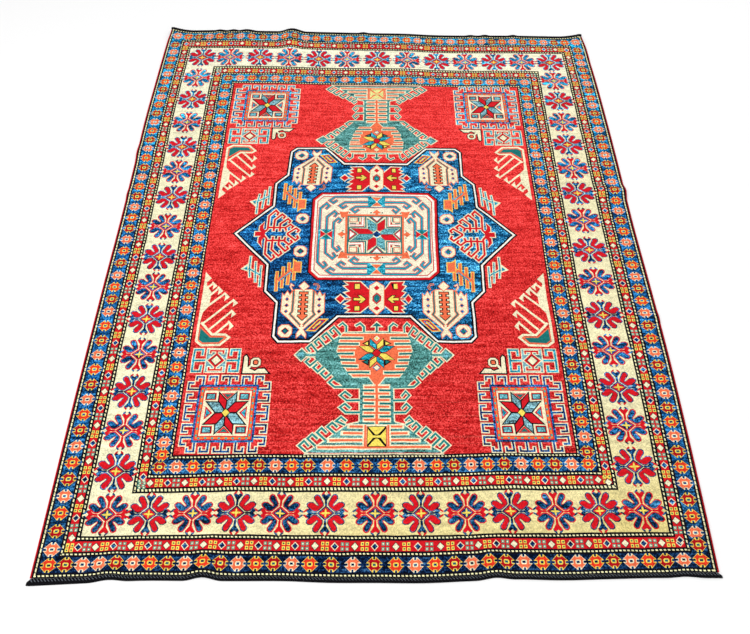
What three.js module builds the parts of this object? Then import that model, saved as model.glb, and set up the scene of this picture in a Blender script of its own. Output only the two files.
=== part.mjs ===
// A knotted pile rug lying flat: one pile slab, two overcast side selvedges and two braided end bands.
// Millimetres, +Z up, +Y towards the far end; the floor is z = 0.
import * as THREE from 'three';
import { mergeVertices } from 'three/addons/utils/BufferGeometryUtils.js';

// Sizes of the weave
const KNOT = 2.9325;
const PITCH = 40 * KNOT;
const HALF_WIDTH = 291 * KNOT;
const HALF_LENGTH = 352 * KNOT;
const ROW_HALF_LENGTH = 7.5 * PITCH;
const COLUMN_HALF_WIDTH = 6 * PITCH;
const PILE = 9;

// Sizes of what finishes the edges
const SELVEDGE_WIDTH = 8;
const SELVEDGE_THICKNESS = 5.5;
const BAND_THICKNESS = 4.5;
const TAIL = 7;
const TAIL_DROP = 3;
const GAP = 0.3;

// How closely the slab is divided
const ACROSS_STEP = 48;
const ALONG_STEP = 56;

// How far the long sides stray outwards or inwards, at places counted in border rosettes from the middle:
// the column of rosettes and the outer edge, on the left and on the right
const SIDES = [
  { along: -8.8, leftColumn: 8, leftEdge: 9.5, rightColumn: -4.5, rightEdge: -4 },
  { along: -7.5, leftColumn: 7, leftEdge: 7, rightColumn: -4, rightEdge: 1 },
  { along: -5.5, leftColumn: 5, leftEdge: 4, rightColumn: -1, rightEdge: 8 },
  { along: -3.5, leftColumn: 2, leftEdge: 2.5, rightColumn: 1, rightEdge: 13.5 },
  { along: -1.5, leftColumn: 1, leftEdge: 0.5, rightColumn: 0, rightEdge: 11.5 },
  { along: 0.5, leftColumn: -1, leftEdge: 0.5, rightColumn: 0, rightEdge: 8.5 },
  { along: 2.5, leftColumn: -2, leftEdge: 0.5, rightColumn: 1, rightEdge: 11 },
  { along: 4.5, leftColumn: -5, leftEdge: -5, rightColumn: 1, rightEdge: 10.5 },
  { along: 6.5, leftColumn: -3, leftEdge: -3, rightColumn: 2, rightEdge: 8.5 },
  { along: 7.5, leftColumn: 1, leftEdge: -1.5, rightColumn: 0, rightEdge: 4.5 },
  { along: 8.8, leftColumn: 1, leftEdge: 1, rightColumn: 0, rightEdge: 1.5 },
];

// How far the ends stray along the rug, and how wide the band is there, at places across the rug
const ENDS = [
  { across: -7.35, nearRow: -1, nearEdge: 1.5, farRow: 2, farEdge: 4, nearBand: 17, farBand: 14 },
  { across: -6, nearRow: -1, nearEdge: 4, farRow: 3, farEdge: 9, nearBand: 14, farBand: 13 },
  { across: -5, nearRow: 1, nearEdge: 6, farRow: 8, farEdge: 12, nearBand: 11, farBand: 13 },
  { across: -4, nearRow: 3, nearEdge: 4, farRow: 9, farEdge: 8, nearBand: 11, farBand: 13 },
  { across: -3, nearRow: 4, nearEdge: 5, farRow: 7, farEdge: 8, nearBand: 11, farBand: 13 },
  { across: -2, nearRow: 1, nearEdge: 4.5, farRow: 2, farEdge: 5, nearBand: 11, farBand: 13 },
  { across: -1, nearRow: 1, nearEdge: 1, farRow: 0, farEdge: 4, nearBand: 12, farBand: 13 },
  { across: 0, nearRow: 0, nearEdge: 0, farRow: 1, farEdge: 2, nearBand: 12, farBand: 13 },
  { across: 1, nearRow: 0, nearEdge: -1, farRow: 0, farEdge: 0, nearBand: 12, farBand: 13 },
  { across: 2, nearRow: 1, nearEdge: 3, farRow: -7, farEdge: -6, nearBand: 12, farBand: 13 },
  { across: 3, nearRow: 4, nearEdge: 5, farRow: -10, farEdge: -6, nearBand: 11, farBand: 13 },
  { across: 4, nearRow: 3, nearEdge: 3, farRow: -8, farEdge: -4, nearBand: 12, farBand: 13 },
  { across: 5, nearRow: 4, nearEdge: 5, farRow: -6, farEdge: -3, nearBand: 12, farBand: 13 },
  { across: 6, nearRow: 4, nearEdge: 6, farRow: -7, farEdge: -4, nearBand: 11, farBand: 13 },
  { across: 7.35, nearRow: 4, nearEdge: 8, farRow: -7, farEdge: -5, nearBand: 13, farBand: 14 },
];

// Short waves in the near end's line: place across, depth, half width
const NEAR_WAVES = [
  { across: -670, depth: 5, half: 55 },
  { across: -435, depth: 8, half: 50 },
  { across: 300, depth: 5, half: 50 },
  { across: 780, depth: 3, half: 50 },
];
const NEAR_WAVE_REACH = 110;

// Ripples that lift an edge: the edge, the place along it, height, half width and reach into the rug
const RIPPLES = [
  { edge: 'far', at: -540, height: 6, half: 45, reach: 90 },
  { edge: 'far', at: -352, height: 14, half: 60, reach: 160 },
  { edge: 'right', at: 205, height: 10, half: 40, reach: 120 },
  { edge: 'left', at: 372, height: 5, half: 50, reach: 80 },
];

// Corners that curl up: which side and end, height and reach
const CURLS = [
  { side: -1, end: 1, height: 17, reach: 95 },
  { side: 1, end: 1, height: 13, reach: 90 },
];

// A smooth line through a table's column (Catmull-Rom)
function along(table, place, key, column) {
  const last = table.length - 1;
  let i = 0;
  while (i < last - 1 && place > table[i + 1][key]) i += 1;
  const a = table[i];
  const b = table[i + 1];
  const before = table[Math.max(i - 1, 0)];
  const after = table[Math.min(i + 2, last)];
  const span = b[key] - a[key];
  const t = THREE.MathUtils.clamp((place - a[key]) / span, 0, 1);
  const slopeA = ((b[column] - before[column]) / (b[key] - before[key])) * span;
  const slopeB = ((after[column] - a[column]) / (after[key] - a[key])) * span;
  const t2 = t * t;
  const t3 = t2 * t;
  return (2 * t3 - 3 * t2 + 1) * a[column] + (t3 - 2 * t2 + t) * slopeA
    + (3 * t2 - 2 * t3) * b[column] + (t3 - t2) * slopeB;
}

function bump(distance, half) {
  const t = Math.min(Math.abs(distance) / half, 1);
  return Math.cos(t * Math.PI / 2) ** 2;
}

// The sideways stray: none at the middle, the column's at the rosettes, the edge's outside them.
// The inner border gives back part of what the outer border gains.
function sideStray(across, place) {
  const left = across < 0;
  const column = along(SIDES, place / PITCH, 'along', left ? 'leftColumn' : 'rightColumn');
  const edge = along(SIDES, place / PITCH, 'along', left ? 'leftEdge' : 'rightEdge');
  const inner = 4.7 * PITCH;
  const innerStray = column * 0.78 - (edge - column) * 0.6;
  const a = Math.abs(across);
  if (a < inner) return innerStray * (a / inner);
  if (a < COLUMN_HALF_WIDTH) {
    return THREE.MathUtils.mapLinear(a, inner, COLUMN_HALF_WIDTH, innerStray, column);
  }
  return THREE.MathUtils.mapLinear(a, COLUMN_HALF_WIDTH, HALF_WIDTH + SELVEDGE_WIDTH, column, edge);
}

function endStray(across, place) {
  const near = place < 0;
  const row = along(ENDS, across / PITCH, 'across', near ? 'nearRow' : 'farRow');
  const edge = along(ENDS, across / PITCH, 'across', near ? 'nearEdge' : 'farEdge');
  const p = Math.abs(place);
  let stray = row * (p / ROW_HALF_LENGTH);
  if (p > ROW_HALF_LENGTH) {
    stray = THREE.MathUtils.mapLinear(p, ROW_HALF_LENGTH, HALF_LENGTH, row, edge);
  }
  if (near) {
    const fade = THREE.MathUtils.clamp(1 - (HALF_LENGTH - p) / NEAR_WAVE_REACH, 0, 1);
    for (const wave of NEAR_WAVES) stray += wave.depth * bump(across - wave.across, wave.half) * fade;
  }
  return stray;
}

// Height of the rug's underside over the floor
function lift(across, place) {
  let height = 0;
  for (const ripple of RIPPLES) {
    const onEnd = ripple.edge === 'far';
    const side = ripple.edge === 'left' ? -1 : 1;
    const inwards = onEnd ? HALF_LENGTH - place : HALF_WIDTH - side * across;
    const off = (onEnd ? across : place) - ripple.at;
    if (inwards < ripple.reach) {
      const fade = THREE.MathUtils.clamp(1 - inwards / ripple.reach, 0, 1);
      height = Math.max(height, ripple.height * bump(off, ripple.half) * fade * (2 - fade));
    }
  }
  for (const curl of CURLS) {
    const dx = Math.max(HALF_WIDTH - curl.side * across, 0);
    const dy = Math.max(HALF_LENGTH - curl.end * place, 0);
    const fade = THREE.MathUtils.clamp(1 - Math.hypot(dx, dy) / curl.reach, 0, 1);
    height = Math.max(height, curl.height * fade * fade);
  }
  return height;
}

// From the weaver's grid (across, place) and a height over the underside to the rug as it lies
function lay(across, place, z) {
  return [across + sideStray(across, place), place + endStray(across, place), lift(across, place) + z];
}

// Dividing lines from -limit to limit: through every named place, and no further apart than step
function lines(limit, places, step) {
  const fixed = [-limit, ...places.filter((p) => Math.abs(p) < limit - step / 3), limit].sort((a, b) => a - b);
  const result = [-limit];
  for (let i = 1; i < fixed.length; i += 1) {
    const from = fixed[i - 1];
    const count = Math.max(1, Math.round((fixed[i] - from) / step));
    for (let k = 1; k <= count; k += 1) result.push(from + ((fixed[i] - from) * k) / count);
  }
  return result;
}

function placesOf(edges) {
  const places = [];
  for (const ripple of RIPPLES) {
    if (edges.includes(ripple.edge)) places.push(ripple.at - ripple.half, ripple.at, ripple.at + ripple.half);
  }
  return places;
}

const ACROSS_LINES = lines(
  HALF_WIDTH,
  [...placesOf(['far']), ...NEAR_WAVES.flatMap((w) => [w.across]), -800, 800],
  ACROSS_STEP,
);
const ALONG_LINES = lines(HALF_LENGTH, [...placesOf(['left', 'right']), -920, 900, 960], ALONG_STEP);

function solid(points, triangles) {
  const geometry = new THREE.BufferGeometry();
  geometry.setAttribute('position', new THREE.Float32BufferAttribute(points.flat(), 3));
  geometry.setIndex(triangles.flat());
  return mergeVertices(geometry, 1e-4);
}

// The pile slab: an upper and a lower sheet on the same lines, closed by walls
function slabGeometry() {
  const columns = ACROSS_LINES.length;
  const rows = ALONG_LINES.length;
  const points = [];
  for (const z of [0, PILE]) {
    for (const place of ALONG_LINES) {
      for (const across of ACROSS_LINES) points.push(lay(across, place, z));
    }
  }
  const index = (layer, row, column) => layer * rows * columns + row * columns + column;
  const triangles = [];
  for (let r = 0; r < rows - 1; r += 1) {
    for (let c = 0; c < columns - 1; c += 1) {
      const low = [index(0, r, c), index(0, r, c + 1), index(0, r + 1, c + 1), index(0, r + 1, c)];
      const top = [index(1, r, c), index(1, r, c + 1), index(1, r + 1, c + 1), index(1, r + 1, c)];
      triangles.push([low[0], low[2], low[1]], [low[0], low[3], low[2]]);
      triangles.push([top[0], top[1], top[2]], [top[0], top[2], top[3]]);
    }
  }
  const rim = [];
  for (let c = 0; c < columns - 1; c += 1) rim.push([0, c]);
  for (let r = 0; r < rows - 1; r += 1) rim.push([r, columns - 1]);
  for (let c = columns - 1; c > 0; c -= 1) rim.push([rows - 1, c]);
  for (let r = rows - 1; r > 0; r -= 1) rim.push([r, 0]);
  for (let i = 0; i < rim.length; i += 1) {
    const [r0, c0] = rim[i];
    const [r1, c1] = rim[(i + 1) % rim.length];
    triangles.push([index(0, r0, c0), index(0, r1, c1), index(1, r1, c1)]);
    triangles.push([index(0, r0, c0), index(1, r1, c1), index(1, r0, c0)]);
  }
  return solid(points, triangles);
}

// A strip made of rings of points, each ring running the same way round, with closed ends
function stripGeometry(rings, flip) {
  const size = rings[0].length;
  const points = rings.flat();
  const triangles = [];
  const push = (a, b, c) => triangles.push(flip ? [a, c, b] : [a, b, c]);
  for (let i = 0; i < rings.length - 1; i += 1) {
    for (let k = 0; k < size; k += 1) {
      const a = i * size + k;
      const b = i * size + ((k + 1) % size);
      push(a, b, b + size);
      push(a, b + size, a + size);
    }
  }
  const end = (rings.length - 1) * size;
  for (let k = 1; k < size - 1; k += 1) {
    push(0, k + 1, k);
    push(end, end + k, end + k + 1);
  }
  return solid(points, triangles);
}

// Cross section of a strip as parts of its width and thickness, flat on the floor
const SECTION = [
  [0, 0.1],
  [0.1, 0],
  [0.85, 0],
  [1, 0.35],
  [0.9, 0.8],
  [0.6, 1],
  [0.25, 1],
  [0, 0.8],
];

function selvedgeGeometry(side) {
  const rings = ALONG_LINES.map((place) => SECTION.map(([out, up]) => {
    const across = side * (HALF_WIDTH + GAP + out * (SELVEDGE_WIDTH - GAP));
    return lay(across, place, up * SELVEDGE_THICKNESS);
  }));
  return stripGeometry(rings, side > 0);
}

// The end band runs past both selvedges and ends in a short tail
function bandGeometry(end) {
  const edge = HALF_WIDTH + SELVEDGE_WIDTH;
  const stations = [];
  for (const across of ACROSS_LINES) stations.push({ across, narrow: 1, shift: 0, low: 1 });
  for (const side of [-1, 1]) {
    const tail = [
      { across: side * edge, narrow: 1, shift: 0, low: 1 },
      { across: side * (edge + TAIL * 0.6), narrow: 0.8, shift: TAIL_DROP * 0.6, low: 0.95 },
      { across: side * (edge + TAIL), narrow: 0.45, shift: TAIL_DROP, low: 0.7 },
    ];
    if (side < 0) stations.unshift(...tail.reverse());
    else stations.push(...tail);
  }
  const column = end < 0 ? 'nearBand' : 'farBand';
  const rings = stations.map(({ across, narrow, shift, low }) => SECTION.map(([out, up]) => {
    const inside = THREE.MathUtils.clamp(across, -edge, edge);
    const width = along(ENDS, inside / PITCH, 'across', column) - GAP;
    const outwards = GAP + shift + width * (1 - narrow) * 0.6 + out * width * narrow;
    const [x, y, z] = lay(inside, end * HALF_LENGTH, up * BAND_THICKNESS * low);
    return [x + across - inside, y + end * outwards, z];
  }));
  return stripGeometry(rings, end < 0);
}

function wool(color) {
  return new THREE.MeshStandardMaterial({ color, roughness: 0.95, metalness: 0 });
}

function piece(name, geometry, material) {
  const mesh = new THREE.Mesh(geometry, material);
  mesh.name = name;
  return mesh;
}

const group = new THREE.Group();
group.add(piece('rug', slabGeometry(), wool(0xb8202c)));
group.add(piece('selvedge_left', selvedgeGeometry(-1), wool(0xa01c24)));
group.add(piece('selvedge_right', selvedgeGeometry(1), wool(0x7c161c)));
group.add(piece('end_finish_near', bandGeometry(-1), wool(0x1b1c20)));
group.add(piece('end_finish_far', bandGeometry(1), wool(0x1b1c20)));

// The origin goes to the middle of the rug's box, on the floor
const box = new THREE.Box3().setFromObject(group);
const middle = box.getCenter(new THREE.Vector3());
for (const mesh of group.children) mesh.geometry.translate(-middle.x, -middle.y, 0);

export default group;
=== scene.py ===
import math
from bisect import bisect_right

import bmesh
import bpy
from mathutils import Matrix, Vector, noise
from mathutils.geometry import delaunay_2d_cdt


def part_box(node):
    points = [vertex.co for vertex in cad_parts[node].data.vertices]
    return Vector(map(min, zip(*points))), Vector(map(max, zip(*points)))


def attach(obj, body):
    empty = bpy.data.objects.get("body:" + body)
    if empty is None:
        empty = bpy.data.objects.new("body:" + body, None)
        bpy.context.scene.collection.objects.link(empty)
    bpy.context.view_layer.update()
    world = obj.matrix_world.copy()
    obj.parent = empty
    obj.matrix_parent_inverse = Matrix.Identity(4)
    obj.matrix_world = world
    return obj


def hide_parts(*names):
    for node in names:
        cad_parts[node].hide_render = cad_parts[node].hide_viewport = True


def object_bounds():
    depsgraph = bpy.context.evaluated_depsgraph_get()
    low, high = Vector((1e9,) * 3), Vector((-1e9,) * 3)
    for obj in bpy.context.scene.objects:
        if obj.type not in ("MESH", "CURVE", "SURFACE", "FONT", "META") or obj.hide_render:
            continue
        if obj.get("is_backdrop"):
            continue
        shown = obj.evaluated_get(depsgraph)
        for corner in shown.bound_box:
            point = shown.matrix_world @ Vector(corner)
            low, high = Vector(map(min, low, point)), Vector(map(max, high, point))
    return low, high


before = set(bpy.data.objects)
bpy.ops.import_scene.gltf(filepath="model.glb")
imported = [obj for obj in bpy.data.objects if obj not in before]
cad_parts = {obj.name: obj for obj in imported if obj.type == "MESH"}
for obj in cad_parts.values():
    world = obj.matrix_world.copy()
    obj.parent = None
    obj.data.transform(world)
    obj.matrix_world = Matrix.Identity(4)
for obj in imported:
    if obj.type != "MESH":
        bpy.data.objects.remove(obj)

cad_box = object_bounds()


# How the rug lies
# A hand-knotted wool rug on the floor. It was woven on a grid of knots, and its sides stray a little,
# because no loom keeps them straight. A few ripples and two curled corners lift it off the floor.

KNOT = 0.0029325
EDGE_U, EDGE_V = 291, 352
HALF_WIDTH = EDGE_U * KNOT
HALF_LENGTH = EDGE_V * KNOT
REPEAT = 40 * KNOT
END_ROSETTES = 7.5 * REPEAT
END_INNER = 6.45 * REPEAT
SIDE_ROSETTES = 6 * REPEAT
SIDE_INNER = 5 * REPEAT
SELVEDGE_WIDTH = 0.008

# place along the rug in repeats, then in millimetres to the right:
# the left side's inner blue border, rosettes and edge, and the right side's
SIDE_STRAY = (
    (-8.8, 3.2, 8, 7.2, -2.8, -3.6, 1.4),
    (-7.5, 6.5, 8, 5.5, -5.1, -3.4, 7.2),
    (-5.5, 2.8, 4.3, 2.4, -7.8, -0.3, 14.5),
    (-3.5, 0.9, 1.7, 0.4, -6.7, 1.3, 18.3),
    (-1.5, 0.3, 0.8, -0.7, -8.2, 0.2, 17.3),
    (0.5, -1.1, -0.6, -0.4, -5.2, 0.6, 14.5),
    (2.5, -0.9, -2.2, -2.6, -4.9, 1.3, 16.5),
    (4.5, -0.9, -4.5, -6.9, -4.4, 1.9, 17.1),
    (6.5, -0.7, -2.8, -4.3, -2.2, 2.6, 15.2),
    (7.5, 3.1, 1.4, -2.5, -2.3, 0.5, 12),
    (8.3, 1.1, 1.5, 0.7, -1.6, -0.3, 9.6),
    (8.8, -0.2, 1.5, 13, -1.2, -0.7, -4),
)

# place across the rug in repeats, then in millimetres up the rug: the near inner border,
# rosettes and edge, the far ones, and the widths of the near and far bands
END_STRAY = (
    (-7.3, -3.8, -3.2, 2.2, 2.2, 1.1, 4, 17, 20),
    (-6, -2.2, -2.1, 5.4, 2, 1.9, 10, 14, 20),
    (-5, -2.6, -0.1, 7.6, 7.9, 7.9, 12, 12, 20),
    (-4, -0.7, 1.4, 5.6, 8.9, 8.6, 9, 11, 20),
    (-3, 1.8, 2.7, 4.5, 7.7, 6, 9, 11, 20),
    (-2, 1, -0.2, 3.9, 4.8, 1, 6, 11, 20),
    (-1, 1.1, 0.2, 0.4, 4.1, -0.3, 4, 12, 20),
    (0, 0, -0.9, -0.5, 5.9, 0.8, 2, 12, 20),
    (1, 0.3, -0.8, -1.7, 5, -0.1, 1, 12, 20),
    (2, 1.7, 0.1, 2.2, -0.9, -8.3, -6, 12, 20),
    (3, 4.3, 3.5, 4.6, -3.1, -10.7, -7, 11, 20),
    (4, 2.9, 2.5, 2.9, -1.5, -8.9, -5, 12, 20),
    (5, 3.1, 3.4, 5, -1, -7.5, -4, 12, 20),
    (6, 2.7, 3.1, 5.9, -6, -8.5, -5, 11, 20),
    (7.3, 2.9, 1.7, 6.9, -5.1, -8.8, -6, 13, 20),
)

# place across, depth and half width of the short waves in the near edge, and how far they reach, in metres
NEAR_REACH = 0.110
NEAR_WAVES = ((-0.670, 0.005, 0.055), (-0.435, 0.008, 0.050), (0.300, 0.005, 0.050), (0.780, 0.003, 0.050))

# edge, place along it, height, half width and reach into the rug, in metres
RIPPLES = (
    ("far", -0.540, 0.006, 0.045, 0.090),
    ("far", -0.352, 0.014, 0.060, 0.160),
    ("right", 0.205, 0.010, 0.040, 0.120),
    ("left", 0.372, 0.005, 0.050, 0.080),
    ("far", -0.655, 0.0035, 0.026, 0.070),
    ("far", -0.598, 0.0045, 0.028, 0.080),
    ("far", -0.055, 0.004, 0.025, 0.060),
    ("far", 0.395, 0.003, 0.025, 0.060),
    ("far", 0.455, 0.004, 0.025, 0.060),
    ("far", 0.575, 0.004, 0.025, 0.060),
    ("right", -0.300, 0.003, 0.030, 0.060),
    ("left", 0.180, 0.003, 0.030, 0.060),
    ("near", -0.435, 0.003, 0.040, 0.060),
)

# side, height and reach of the two far corners that curl up
CURLS = ((-1, 0.017, 0.095), (1, 0.013, 0.090))


def stray(table, place, column):
    """A smooth line through one column of a table of strays, in metres."""
    last = len(table) - 1
    i = min(max(bisect_right([row[0] for row in table], place) - 1, 0), last - 1)
    a, b = table[i], table[i + 1]
    before, after = table[max(i - 1, 0)], table[min(i + 2, last)]
    span = b[0] - a[0]
    t = min(max((place - a[0]) / span, 0), 1)
    slope_a = (b[column] - before[column]) / (b[0] - before[0]) * span
    slope_b = (after[column] - a[column]) / (after[0] - a[0]) * span
    value = (2 * t**3 - 3 * t**2 + 1) * a[column] + (t**3 - 2 * t**2 + t) * slope_a
    value += (3 * t**2 - 2 * t**3) * b[column] + (t**3 - t**2) * slope_b
    return value / 1000


def between(value, low, high, at_low, at_high):
    """A straight line from one place to the next, and on past them."""
    return at_low + (at_high - at_low) * (value - low) / (high - low)


def hump(distance, half):
    """A smooth hump, 1 at its middle and 0 from its half width on."""
    return math.cos(min(abs(distance) / half, 1) * math.pi / 2) ** 2


def side_stray(across, place):
    first = 1 if across < 0 else 4
    inner = stray(SIDE_STRAY, place / REPEAT, first)
    out = abs(across)
    if out < SIDE_INNER:
        return inner * out / SIDE_INNER
    column = stray(SIDE_STRAY, place / REPEAT, first + 1)
    if out < SIDE_ROSETTES:
        return between(out, SIDE_INNER, SIDE_ROSETTES, inner, column)
    edge = stray(SIDE_STRAY, place / REPEAT, first + 2)
    return between(out, SIDE_ROSETTES, HALF_WIDTH + SELVEDGE_WIDTH, column, edge)


def end_stray(across, place):
    near = place < 0
    first = 1 if near else 4
    inner = stray(END_STRAY, across / REPEAT, first)
    out = abs(place)
    if out < END_INNER:
        moved = inner * out / END_INNER
    else:
        row = stray(END_STRAY, across / REPEAT, first + 1)
        if out < END_ROSETTES:
            moved = between(out, END_INNER, END_ROSETTES, inner, row)
        else:
            edge = stray(END_STRAY, across / REPEAT, first + 2)
            moved = between(out, END_ROSETTES, HALF_LENGTH, row, edge)
    if near:
        fade = min(max(1 - (HALF_LENGTH - out) / NEAR_REACH, 0), 1)
        moved += sum(depth * hump(across - at, half) for at, depth, half in NEAR_WAVES) * fade
    return moved


def lift(across, place):
    """Height of the rug's back over the floor."""
    height = 0
    for edge, at, high, half, reach in RIPPLES:
        inwards = {
            "far": HALF_LENGTH - place,
            "near": HALF_LENGTH + place,
            "left": HALF_WIDTH + across,
            "right": HALF_WIDTH - across,
        }[edge]
        if inwards < reach:
            off = (across if edge in ("far", "near") else place) - at
            fade = min(max(1 - inwards / reach, 0), 1)
            height = max(height, high * hump(off, half) * fade * (2 - fade))
    for side, high, reach in CURLS:
        off = math.hypot(max(HALF_WIDTH - side * across, 0), max(HALF_LENGTH - place, 0))
        height = max(height, high * min(max(1 - off / reach, 0), 1) ** 2)
    return height


def strayed(across, place):
    return across + side_stray(across, place), place + end_stray(across, place)


# the loom's middle isn't quite the middle of the rug as it lies: its edges are tried every 4 mm
low_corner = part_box("rug")[0]
MIDDLE_OF_LOOM = Vector((
    low_corner[0] - min(strayed(-HALF_WIDTH, k * 0.004)[0] for k in range(-258, 259)),
    low_corner[1] - min(strayed(k * 0.004, -HALF_LENGTH)[1] for k in range(-213, 214)),
    0,
))


def lay(across, place, z):
    return MIDDLE_OF_LOOM + Vector((*strayed(across, place), lift(across, place) + z))


def unlaid(u, v):
    """The chart's place, in knots, of a figure that is seen here on the rug as it lies."""
    return u - side_stray(u * KNOT, v * KNOT) / KNOT, v - end_stray(u * KNOT, v * KNOT) / KNOT


# Camera
# It stands in front of the rug's near end and looks steeply down on the middle of it.

camera_data = bpy.data.cameras.new("camera")
camera_data.sensor_width = 36
camera_data.lens = 27.416
camera_data.shift_x = -0.0124
camera = bpy.data.objects.new("camera", camera_data)
camera.location = Vector((-0.0079, -1.1277, 1.5625)) + MIDDLE_OF_LOOM
camera.rotation_euler = (math.radians(28.02), math.radians(-0.961), math.radians(-0.366))
bpy.context.scene.collection.objects.link(camera)
bpy.context.scene.camera = camera


# The weaver's chart
# The pattern is knotted row by row from dyed wool. It is charted here in knots from the middle of the loom,
# one flat shape of one dye over another, and the uppermost shape gives a knot its dye.

shapes = []


class Chart:
    """Draws flat shapes at one or more places of the rug, such as its four mirrored quarters."""

    def __init__(self, *places):
        self.places = places

    def patch(self, dye, *corners):
        for place in self.places:
            shapes.append((dye, [place(u, v) for u, v in corners]))

    def block(self, dye, left, low, right, high):
        self.patch(dye, (left, low), (right, low), (right, high), (left, high))

    def blocks(self, u, v, *layers):
        """Blocks round one middle, each a dye and its half sizes, from the outermost in."""
        for dye, across, along in layers:
            self.block(dye, u - across, v - along, u + across, v + along)

    def lozenge(self, dye, u, v, across, along):
        self.patch(dye, (u - across, v), (u, v - along), (u + across, v), (u, v + along))

    def lozenges(self, u, v, *layers):
        """Lozenges round one middle, as for blocks."""
        for layer in layers:
            self.lozenge(layer[0], u, v, *layer[1:])

    def octagon(self, dye, u, v, out):
        cut = out * 0.5
        self.patch(
            dye,
            *((u + a, v + b) for a, b in ((out, cut), (cut, out), (-cut, out), (-out, cut))),
            *((u - a, v - b) for a, b in ((out, cut), (cut, out), (-cut, out), (-out, cut))),
        )

    def line(self, dye, width, *points, closed=False):
        """A line of one width with mitred corners."""
        count = len(points)
        banks = []
        for i, (u, v) in enumerate(points):
            before = points[i - 1] if i or closed else None
            after = points[(i + 1) % count] if i < count - 1 or closed else None
            squares = []
            for a, b in ((before, (u, v)), ((u, v), after)):
                if a and b:
                    length = math.dist(a, b)
                    squares.append(((a[1] - b[1]) / length, (b[0] - a[0]) / length))
            (au, av), (bu, bv) = squares[0], squares[-1]
            reach = width / 2 / max(1 + au * bu + av * bv, 0.35)
            nu, nv = (au + bu) * reach, (av + bv) * reach
            banks.append(((u + nu, v + nv), (u - nu, v - nv)))
        for i in range(count if closed else count - 1):
            (a, b), (c, d) = banks[i], banks[(i + 1) % count]
            self.patch(dye, a, c, d, b)

    def edged(self, dye, edge, width, corners):
        """A patch with a line of another dye round it."""
        self.line(edge, width, *corners, closed=True)
        self.patch(dye, *corners)

    def outlined(self, dye, width, edge, margin, *lines):
        """Lines of one dye edged with another; the edges come first, so that lines join."""
        for points in lines:
            longer = list(points)
            for end, next_to in ((0, 1), (-1, -2)):
                (u, v), (nu, nv) = points[end], points[next_to]
                more = margin / math.dist((u, v), (nu, nv))
                longer[end] = (u + (u - nu) * more, v + (v - nv) * more)
            self.line(edge, width + 2 * margin, *longer)
        for points in lines:
            self.line(dye, width, *points)


def at(u0, v0, turn_u=1, turn_v=1):
    return lambda u, v: (u0 + turn_u * u, v0 + turn_v * v)


def mirrored(u0, v0):
    return Chart(*(at(u0, v0, a, b) for a in (1, -1) for b in (1, -1)))


# Border stripes
# Three borders run round the field, each between rows of beads: a blue one, a cream one and a blue one,
# with a red guard stripe on both sides of the cream one.

rug = Chart(at(0, 0))

rug.blocks(
    0, 0,
    ("black", EDGE_U, EDGE_V),
    ("border blue", 287.3, 348.3),
    ("black", 273.8, 335.8),
    ("guard red", 269.4, 331.4),
    ("black", 262.8, 322.8),
    ("border cream", 258.3, 318.3),
    ("black", 221.8, 281.8),
    ("guard red", 217.4, 276.4),
    ("black", 210.7, 268.7),
    ("border blue", 206.4, 264.4),
    ("black", 193.7, 251.7),
    ("field red", 189.4, 247.4),
)

# the weaver began both blue borders with darker wool
rug.block("night blue", -287.3, -348.3, 287.3, -335.8)
rug.block("dusk blue", -206.4, -264.4, 206.4, -251.7)

# the rows of beads: inner and outer edge across the rug, then along it; these two dyes are marks,
# and the wool's material parts them into pale beads
BEAD_ROWS = (
    (288, 291, 349, 352),
    (270, 273, 332, 335),
    (259, 262, 319, 322),
    (218, 221, 277, 281),
    (207, 210, 265, 268),
    (190, 193, 248, 251),
)
for in_u, out_u, in_v, out_v in BEAD_ROWS:
    for way in (-1, 1):
        low, high = sorted((way * (in_v + 0.9), way * (out_v - 0.9)))
        rug.block("beads across", 0.7 - out_u, low, out_u - 0.7, high)
        low, high = sorted((way * (in_u + 0.9), way * (out_u - 0.9)))
        rug.block("beads along", low, 0.7 - out_v, high, out_v - 0.7)


# Main border rosettes
# Rosettes of four petals stand 40 knots apart on the cream border, in turns blue with red arms
# and red with blue arms. The weaver's beat was uneven, so a few stand off their places.

# millimetres off the even place: down the two sides, then along the two ends
RIGHT_SLIPS = (-7, 3, 7, 10, 12, 15, 17, 16, 11, 6, 1, -2, -3, 0, 2, 4)
LEFT_SLIPS = (3, 1, -2, -6, -13, -13, -12, -18, -23, -19, -17, -17, -16, -13, -8, -1)
FAR_SLIPS = (1, -5, -2, -1, 0, -3, 3, 6, 8, 7, 6, 3, 0)
NEAR_SLIPS = (7, -4, -8, -13, -16, -16, -4, -1, 0, -1, -1, -1, -4)


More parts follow.
